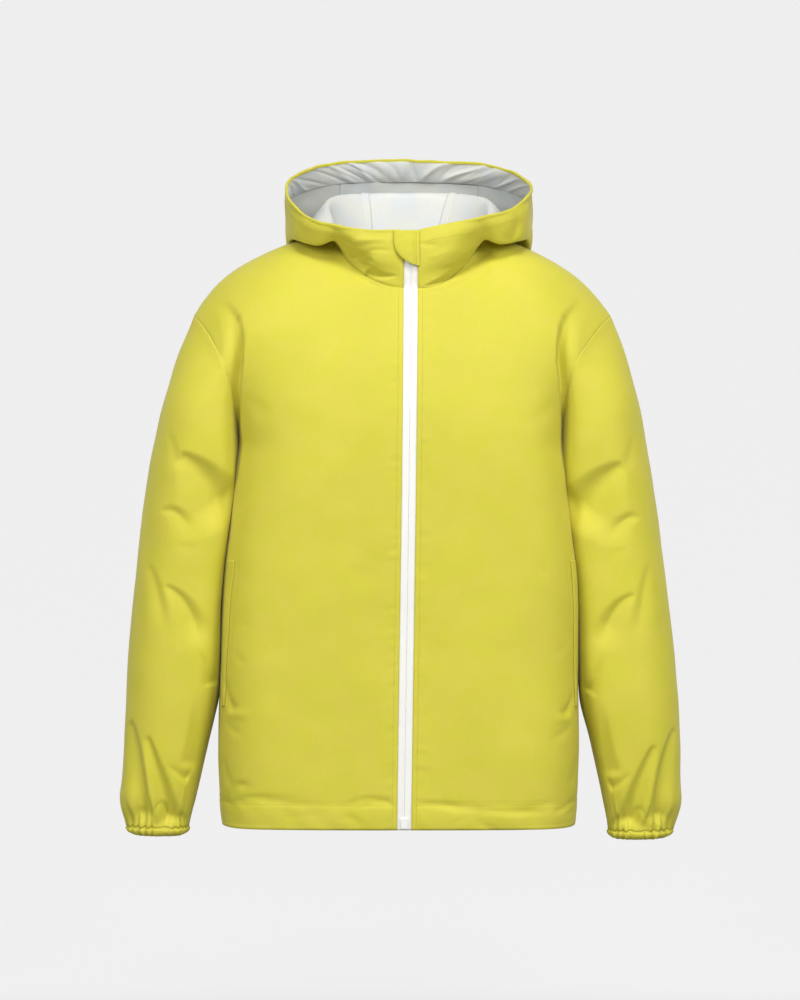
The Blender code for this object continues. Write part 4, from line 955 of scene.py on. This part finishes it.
hoodPieces = {}
for side, name in ((-1, "Right"), (1, "Left")):
    reference = hoodPlain(side, np.linspace(0, form["hoodSeam"], 300), np.full(300, 3.0))
    arounds = evenShares(reference, hoodLook["sideColumns"] + 1) * form["hoodSeam"]
    grid, around, climb = hoodGrid(side, arounds)
    grid = soften(grid, 3)
    normal = normalsOf(grid, side < 0)
    lift = hoodLift(grid, normal, around, climb, side, 101)
    across, along = runs(grid)
    lift = seamSwell(seamSwell(lift, across[:, -1:] - across, along), along, across)
    grid = grid + normal * lift[..., None]
    grid = mix(grid, pressed(grid), 1 - ease(climb, 4.3, 4.9))
    normal = normalsOf(grid, side < 0)
    panels["hood" + name] = (grid, normal)
    addSheet("hood" + name, grid, [shellCloth, insideCloth], form["wall"], flip=side < 0,
             replaced=["hood_" + name.lower()])
    for gap in (4.0,):
        columnAt = np.array([np.interp(row[-1] - gap, row, np.arange(len(row))) for row in across])
        stitch(*pick(grid, normal, np.arange(grid.shape[0]), columnAt))
    rowAt = np.array([np.interp(along[-1, c] - 16, along[:, c], np.arange(len(along))) for c in range(grid.shape[1])])
    stitch(*pick(grid, normal, rowAt, np.arange(grid.shape[1])))
    rowAt = np.array([np.interp(3.5, along[:, c], np.arange(len(along))) for c in range(grid.shape[1])])
    stitch(*pick(grid, normal, rowAt, np.arange(grid.shape[1])))

arounds = np.linspace(form["hoodSeam"], 1, hoodLook["centreColumns"] // 2 + 1)
right, aroundR, climbR = hoodGrid(-1, arounds)
left, _, _ = hoodGrid(1, arounds)
grid = np.concatenate([right, left[:, -2::-1]], 1)
around = np.concatenate([aroundR, aroundR[:, -2::-1]], 1)
climb = np.concatenate([climbR, climbR[:, -2::-1]], 1)
grid = soften(grid, 3)
normal = normalsOf(grid, True)
lift = hoodLift(grid, normal, around, climb, 0, 101)
across, along = runs(grid)
for gap, run in ((across[:, -1:] - across, along), (across, along), (along, across)):
    lift = seamSwell(lift, gap, run)
grid = grid + normal * lift[..., None]
normal = normalsOf(grid, True)
panels["hoodCentre"] = (grid, normal)
addSheet("hoodCentre", grid, [shellCloth, insideCloth], form["wall"], flip=True, replaced=["hood_centre"])
rowAt = np.array([np.interp(along[-1, c] - 16, along[:, c], np.arange(len(along))) for c in range(grid.shape[1])])
stitch(*pick(grid, normal, rowAt, np.arange(grid.shape[1])))
print("hood made")


def hoodLoop(count, climb):
    # the hood's outer face once round from the right of the zip to the left, at a climb
    turn = np.linspace(0, 1, count)
    around = 1 - np.abs(1 - 2 * turn)
    right, left = hoodPlain(-1, around, climb), hoodPlain(1, around, climb)
    return np.where((turn <= 0.5)[..., None], right, left), turn


# the whole hood, once round, as one fine grid to take inner pieces from
loopLook = dict(columns=420, rows=150)
reference = hoodPlain(1, np.full(500, 0.62), np.linspace(0, 5, 500))
loopClimbs = evenShares(reference, loopLook["rows"] + 1) * 5
loop = np.stack([hoodLoop(loopLook["columns"], np.full(loopLook["columns"], c))[0] for c in loopClimbs])
loopTurn = np.linspace(0, 1, loopLook["columns"])
loopNormal = normalsOf(loop, True)
loopAcross, loopAlong = runs(loop)
loopCentre = 1 - np.abs(1 - 2 * loopTurn)

# facing band inside the face opening
facingDepth = table("around depth", (0, 18), (0.3, 18), (0.5, 26), (1, 28))
facingLook = dict(rows=26, wrinkle=2.0, wall=0.5)
columns = np.where((loopCentre > 0.045))[0]
depthAt = read(facingDepth, "around", "depth", loopCentre)
facing, facingUp = [], []
for share in np.linspace(0, 1, facingLook["rows"] + 1):
    down = depthAt * (1 - share) + 0.4
    rowAt = np.array([np.interp(loopAlong[-1, c] - down[c], loopAlong[:, c], np.arange(loopLook["rows"] + 1))
                      for c in range(loopLook["columns"])])
    points, ups = pick(loop, loopNormal, rowAt, np.arange(loopLook["columns"]))
    bulge = math.sin(share * math.pi) ** 0.7
    arc = np.cumsum(np.concatenate([[0], np.linalg.norm(np.diff(points, axis=0), axis=-1)]))
    lean = arc + share * 46 * np.sign(0.5 - loopTurn) * ease(np.abs(0.5 - loopTurn), 0, 0.1) + 16 * unevenAlong(arc + 30 * share, 80, 3)
    wrinkle = 1.6 * (1 - np.abs(unevenAlong(lean, 44, 141))) ** 3 - 0.8 * (1 - np.abs(unevenAlong(lean + 20 * share, 25, 143))) ** 3
    depth = form["cadWall"] + (form["facingGap"] - 0.4) * ease(share, 0, 0.3) - 0.2 + bulge * facingLook["wrinkle"] * (0.5 + wrinkle)
    facing.append((points - ups * depth[:, None])[columns])
facing = np.array(facing)
addSheet("hoodFacing", facing, [insideCloth], facingLook["wall"], flip=True, replaced=["hood_facing"])

# rolled edge over the rim, from the outer cloth over to the facing
rimLook = dict(sides=12, drop=2.2, out=0.35, inner=3.2, height=0.9)
section = []
for k in range(rimLook["sides"] + 1):
    angle = math.pi * k / rimLook["sides"]
    half = (rimLook["inner"] + rimLook["out"]) / 2
    section.append((half - half * math.cos(angle) - rimLook["out"], rimLook["height"] * math.sin(angle)))
section = [(-rimLook["out"], -rimLook["drop"])] + section + [(rimLook["inner"], -rimLook["drop"])]
rimColumns = np.where(loopCentre > 0.012)[0]
rimUp = unit(loop[-1] - loop[-4])
rimGrid = np.stack([(loop[-1] - loopNormal[-1] * depth + rimUp * height)[rimColumns] for depth, height in section])
wobble = unevenAlong(loopAcross[-1], 70, 151) + 0.6 * unevenAlong(loopAcross[-1], 26, 152)
wobble = hoodLook["rimWave"] * (wobble * ease(loopCentre, 0.1, 0.3))[rimColumns]
rimGrid = rimGrid + vec(0, 0, wobble)
addSheet("hoodRim", rimGrid, [shellCloth], 0.0, flip=False)

# seam tapes inside the hood, over its two long seams
tapeLook = dict(width=10.0, depth=1.35)
for name, seam in (("Right", form["hoodSeam"] / 2), ("Left", 1 - form["hoodSeam"] / 2)):
    centre = seam * (loopLook["columns"] - 1)
    rowsAt = np.linspace(3, loopLook["rows"] - 14, 130)
    points, ups = pick(loop, loopNormal, rowsAt, np.full(130, centre))
    beside, _ = pick(loop, loopNormal, rowsAt, np.full(130, centre + 2))
    way = unit(beside - points)
    offsets = np.linspace(-0.5, 0.5, 7) * tapeLook["width"]
    strip = np.stack([points + way * o - ups * tapeLook["depth"] for o in offsets], 1)
    addSheet("seamTape" + name, strip, [insideCloth], 0.2)
print("hood inside made")

# zip: two coated tapes that meet in the middle, with the coil behind them
zipLook = dict(depth=1.35, thick=0.8, split=0.06, rows=300, crown=0.2, tooth=1.5)
vs = np.concatenate([np.linspace(0, form["chestRow"], 120), np.linspace(form["chestRow"], 0.9999, 70)[1:]])
zipLow = lowRow(1, "front", np.zeros(120), np.linspace(0, form["chestRow"], 120))
zipTop = middleEdge(1, "front", np.linspace(0, 1, 70)[1:-1])
zipHood = hoodPlain(1, np.zeros(40), np.linspace(0, 4.97, 40))
zipPath = np.concatenate([zipLow, zipTop, zipHood]) - (form["zipOpen"], 0, 0)
shares = evenShares(zipPath, zipLook["rows"] + 1) * (len(zipPath) - 1)
zipPath = np.stack([np.interp(shares, np.arange(len(zipPath)), zipPath[:, i]) for i in range(3)], -1)
for k in range(6):
    zipPath[1:-1] = (zipPath[:-2] + 2 * zipPath[1:-1] + zipPath[2:]) / 4
zipRun = unit(np.gradient(zipPath, axis=0))
zipIn = unit(vec(0, zipRun[:, 2], -zipRun[:, 1]))
zipAcross = np.array([0.0, 0.35, 0.8, 1.6, 3.0, 5.0, 7.0, 9.0, 10.5, 11.88])
for side, name in ((-1, "Right"), (1, "Left")):
    rise = zipLook["crown"] * (1 - np.exp(-(zipAcross / 0.5))) * np.exp(-(zipAcross / 6.5) ** 4)
    strip = np.stack([zipPath + (side * (zipLook["split"] + a), 0, 0) + zipIn * (zipLook["depth"] + zipLook["crown"] - r)
                      for a, r in zip(zipAcross, rise)], 1)
    addSheet("zipTape" + name, strip, [tapeCloth], zipLook["thick"], flip=side < 0,
             replaced=["zip_tape_" + name.lower()])
steps = np.concatenate([[0], np.cumsum(np.linalg.norm(np.diff(zipPath, axis=0), axis=-1))])
places = []
toothShape = ([(-0.5, -0.3, -0.35), (0.5, -0.3, -0.35), (0.5, 0.3, -0.35), (-0.5, 0.3, -0.35),
               (-0.42, -0.22, 0.4), (0.42, -0.22, 0.4), (0.42, 0.22, 0.4), (-0.42, 0.22, 0.4)],
              [(3, 2, 1, 0), (4, 5, 6, 7), (0, 1, 5, 4), (1, 2, 6, 5), (2, 3, 7, 6), (3, 0, 4, 7)])
for side in (-1, 1):
    at = np.arange(16 + (0.75 if side > 0 else 0), steps[-1] - 14, zipLook["tooth"])
    spot = np.stack([np.interp(at, steps, zipPath[:, i]) for i in range(3)], -1)
    run = unit(np.stack([np.interp(at, steps, zipRun[:, i]) for i in range(3)], -1))
    inn = unit(np.stack([np.interp(at, steps, zipIn[:, i]) for i in range(3)], -1))
    spot = spot + (side * 1.3, 0, 0) + inn * (zipLook["depth"] + zipLook["thick"] + 1.0)
    sideWay = np.broadcast_to((1.0, 0, 0), run.shape)
    places.append(np.stack([sideWay * 3.4, run * 1.15, inn * 1.4, spot], -1))
addMany("zipCoil", *toothShape, np.concatenate(places), tapeCloth, "zip_tape")
print("zip made")


# chin flap
flapEdge = table("share x z", (0.0, -7.2, 31.5), (0.35, -7.2, 16), (0.6, -4, 6), (0.8, 4, -3), (1.0, 15, -9.5))
flapStand = table("x rise", (-8, 2.6), (-2, 3.8), (5, 4.8), (12, 4.9), (17, 3.9), (20.5, 2.4), (23.5, 1.5))
flapLook = dict(rows=44, columns=30, hingeX=23.5, foot=-11.5)
collarLine = hoodPlain(1, np.zeros(6), np.arange(6.0))


def collarFront(z):
    return np.interp(z, collarLine[:, 2], collarLine[:, 1])


shares, crosses = np.meshgrid(np.linspace(0, 1, flapLook["rows"] + 1), np.linspace(0, 1, flapLook["columns"] + 1), indexing="ij")
leftX, leftZ = read(flapEdge, "share", "x", shares), read(flapEdge, "share", "z", shares)
rightZ = flapEdge["z"][0] + (flapLook["foot"] - flapEdge["z"][0]) * shares
x = leftX + (flapLook["hingeX"] - leftX) * crosses
z = leftZ + (rightZ - leftZ) * crosses
edgeRoll = 0.5 * np.exp(-((x - leftX) / 2.2) ** 2)
groove = 0.35 * np.exp(-((x - 16.6) / 0.7) ** 2) + 0.45 * np.exp(-((x - 19.6) / 0.7) ** 2)
rise = read(flapStand, "x", "rise", x) - edgeRoll - groove + 0.25 * unevenAlong(z + 0.4 * x, 14, 161)
grid = vec(x, collarFront(z) - rise, z)[:, ::-1]
addSheet("chinFlap", grid, [shellCloth, shellCloth], 1.3, replaced=["chin_flap"])
flapNormal = normalsOf(grid, False)
for at in (16.6, 19.6):
    columnAt = np.array([np.interp(-at, -row[:, 0], np.arange(len(row))) for row in grid])
    stitch(*pick(grid, flapNormal, np.arange(2, len(grid) - 2), columnAt[2:-2]), length=2.2, gap=0.8)
print("chin flap made")


# pockets
pocketRows = table("share v opening welt", (0, 0.206, 0.725, 0.775), (0.5, 0.335, 0.690, 0.765), (1, 0.459, 0.655, 0.745))
bagRows = table("share v inner outer", (0, 0.10, 0.40, 0.74), (0.5, 0.29, 0.30, 0.76), (1, 0.49, 0.36, 0.76))
pocketLook = dict(rows=90, columns=14, lift=0.35, wall=0.9, bagDepth=2.4)
for side, name in ((-1, "Right"), (1, "Left")):
    panel, up = panels["front" + name]
    # a place in shares of the panel's height and width, on the finished front
    us = bodyColumns(side, "front")

    def onFront(u, v):
        return pick(panel, up, np.interp(v, bodyShares, np.arange(len(bodyShares))), np.interp(u, us, np.arange(len(us))))

    share, cross = np.meshgrid(np.linspace(0, 1, pocketLook["rows"] + 1), np.linspace(0, 1, pocketLook["columns"] + 1), indexing="ij")
    v = read(pocketRows, "share", "v", share)
    opening, welt = read(pocketRows, "share", "opening", share), read(pocketRows, "share", "welt", share)
    points, ups = onFront(opening + (welt - opening) * cross, v)
    puff = np.sin(cross * math.pi) ** 0.6 * np.sin(np.clip(share * 12, 0, 1) * math.pi / 2)
    lift = pocketLook["lift"] + pocketLook["wall"] + 0.5 * puff + 0.25 * puff * unevenAlong(share * 170, 17, 171 + side)
    grid = points + ups * lift[..., None]
    addSheet("pocketWelt" + name, grid, [shellCloth, shellCloth], pocketLook["wall"], flip=side < 0,
             replaced=["pocket_welt_" + name.lower()])
    # short bars across the welt, its stitched edge, and the stitching round the facing
    weltNormal = normalsOf(grid, side < 0)
    for k in range(11):
        row = np.full(6, 5.0 + k * 8)
        stitch(*pick(grid, weltNormal, row, np.linspace(4.5, 9.5, 6)), length=1.9, gap=0.2)
    stitch(*pick(grid, weltNormal, np.arange(2.0, 89), np.full(87, 12.6)), length=2.4, gap=0.9)
    t = np.linspace(0, 1, 60)
    lineV = read(pocketRows, "share", "v", t)
    lineU = read(pocketRows, "share", "opening", t) - 0.055 * np.sin(np.clip(t * 1.25, 0, 1) * math.pi * 0.5)
    stitch(*onFront(lineU, lineV), length=2.2, gap=1.0)
    top = np.linspace(0, 1, 14)
    stitch(*onFront(read(pocketRows, "share", "opening", 1.0) - 0.055 * (1 - top), np.full(14, 0.459) - 0.008 * (1 - top)),
           length=2.2, gap=0.9)
    share, cross = np.meshgrid(np.linspace(0, 1, 41), np.linspace(0, 1, 31), indexing="ij")
    v = read(bagRows, "share", "v", share)
    first, last = read(bagRows, "share", "inner", share), read(bagRows, "share", "outer", share)
    points, ups = onFront(first + (last - first) * cross, v)
    sag = 0.6 + 0.8 * uneven(points, 50, 181) ** 2
    grid = points - ups * (pocketLook["bagDepth"] + sag)[..., None]
    addSheet("pocketBag" + name, grid, [insideCloth], 0.7, flip=side < 0,
             replaced=["pocket_bag_" + name.lower()])
print("pockets made")

# all the sewing as one mesh for each thread
addMany("stitching", *stitchShape, np.concatenate(stitchRows["yellow"]), threadFinish, "shell")
print("stitches:", sum(len(rows) for rows in stitchRows["yellow"]))

# hard pieces keep their solids
for node in ("zip_slider", "zip_pull", "zip_box"):
    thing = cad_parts[node]
    thing.data.materials.clear()
    thing.data.materials.append(mouldedFinish)

# studio
studio = dict(camera=(0, -4.0, -0.290), lens=118, floor=-1.02, floorTone=0.26, wallTone=0.12, glow=0.74, world=0.10)


def addArea(name, place, aim, size, energy, colour=(1, 1, 1)):
    light = bpy.data.lights.new(name, "AREA")
    light.shape, light.size, light.size_y, light.energy, light.color = "RECTANGLE", size[0], size[1], energy, colour
    thing = bpy.data.objects.new(name, light)
    thing.location = place
    way = np.array(aim, float) - np.array(place, float)
    yaw, pitch = math.atan2(-way[0], way[1]), math.atan2(way[2], math.hypot(way[0], way[1]))
    thing.rotation_euler = (math.pi / 2 + pitch, 0, yaw)
    bpy.context.scene.collection.objects.link(thing)


paper, paperNodes, paperLinks, paperShader = newMaterial("paper")
paperShader.inputs["Roughness"].default_value = 0.9
paperPlace = paperNodes.new("ShaderNodeTexCoord")
paperAxes = paperNodes.new("ShaderNodeSeparateXYZ")
paperLinks.new(paperPlace.outputs["Object"], paperAxes.inputs["Vector"])
paperGlow = paperNodes.new("ShaderNodeMapRange")
paperGlow.interpolation_type = "SMOOTHSTEP"
paperGlow.inputs["From Min"].default_value, paperGlow.inputs["From Max"].default_value = 0.0, 0.9
paperGlow.inputs["To Min"].default_value, paperGlow.inputs["To Max"].default_value = 0.0, studio["glow"]
paperLinks.new(paperAxes.outputs["Y"], paperGlow.inputs["Value"])
paperShader.inputs["Emission Color"].default_value = (1, 1, 1, 1)
paperLinks.new(paperGlow.outputs["Result"], paperShader.inputs["Emission Strength"])
paperTone = paperNodes.new("ShaderNodeMapRange")
paperTone.inputs["From Max"].default_value = studio["glow"]
paperTone.inputs["To Min"].default_value, paperTone.inputs["To Max"].default_value = studio["floorTone"], studio["wallTone"]
paperLinks.new(paperGlow.outputs["Result"], paperTone.inputs["Value"])
paperLinks.new(paperTone.outputs["Result"], paperShader.inputs["Base Color"])
sweep = []
for y, z in [(-6.0, 0), (0.8, 0)] + [(0.8 + 1.8 * math.sin(a), 1.8 - 1.8 * math.cos(a)) for a in np.linspace(0.1, math.pi / 2, 14)] + [(2.6, 5.0)]:
    sweep.append((y, studio["floor"] + z))
mesh = bpy.data.meshes.new("paperSweep")
mesh.from_pydata([(x, y, z) for y, z in sweep for x in (-6, 6)], [],
                 [(2 * i, 2 * i + 1, 2 * i + 3, 2 * i + 2) for i in range(len(sweep) - 1)])
mesh.materials.append(paper)
mesh.shade_smooth()
backdrop = bpy.data.objects.new("paperSweep", mesh)
bpy.context.scene.collection.objects.link(backdrop)

addArea("rightLight", (2.6, -2.9, 1.3), (0, 0, -0.3), (1.2, 1.8), 68)
addArea("leftLight", (-2.6, -2.9, 1.3), (0, 0, -0.3), (1.2, 1.8), 60)
addArea("topLight", (0.2, -3.2, 4.2), (0, 0, -0.3), (2.0, 1.4), 168)
addArea("frontLight", (0, -2.9, 0.7), (0, 0, -0.1), (2.0, 1.2), 17)
world = bpy.data.worlds.new("room")
world.use_nodes = True
world.node_tree.nodes["Background"].inputs["Color"].default_value = (1, 1, 1, 1)
world.node_tree.nodes["Background"].inputs["Strength"].default_value = studio["world"]
bpy.context.scene.world = world
bpy.context.scene.view_settings.view_transform = "Standard"

cameraData = bpy.data.cameras.new("camera")
cameraData.lens, cameraData.sensor_width = studio["lens"], 36
camera = bpy.data.objects.new("camera", cameraData)
camera.location, camera.rotation_euler = studio["camera"], (math.pi / 2, 0, 0)
bpy.context.scene.collection.objects.link(camera)
bpy.context.scene.camera = camera
print("studio made")
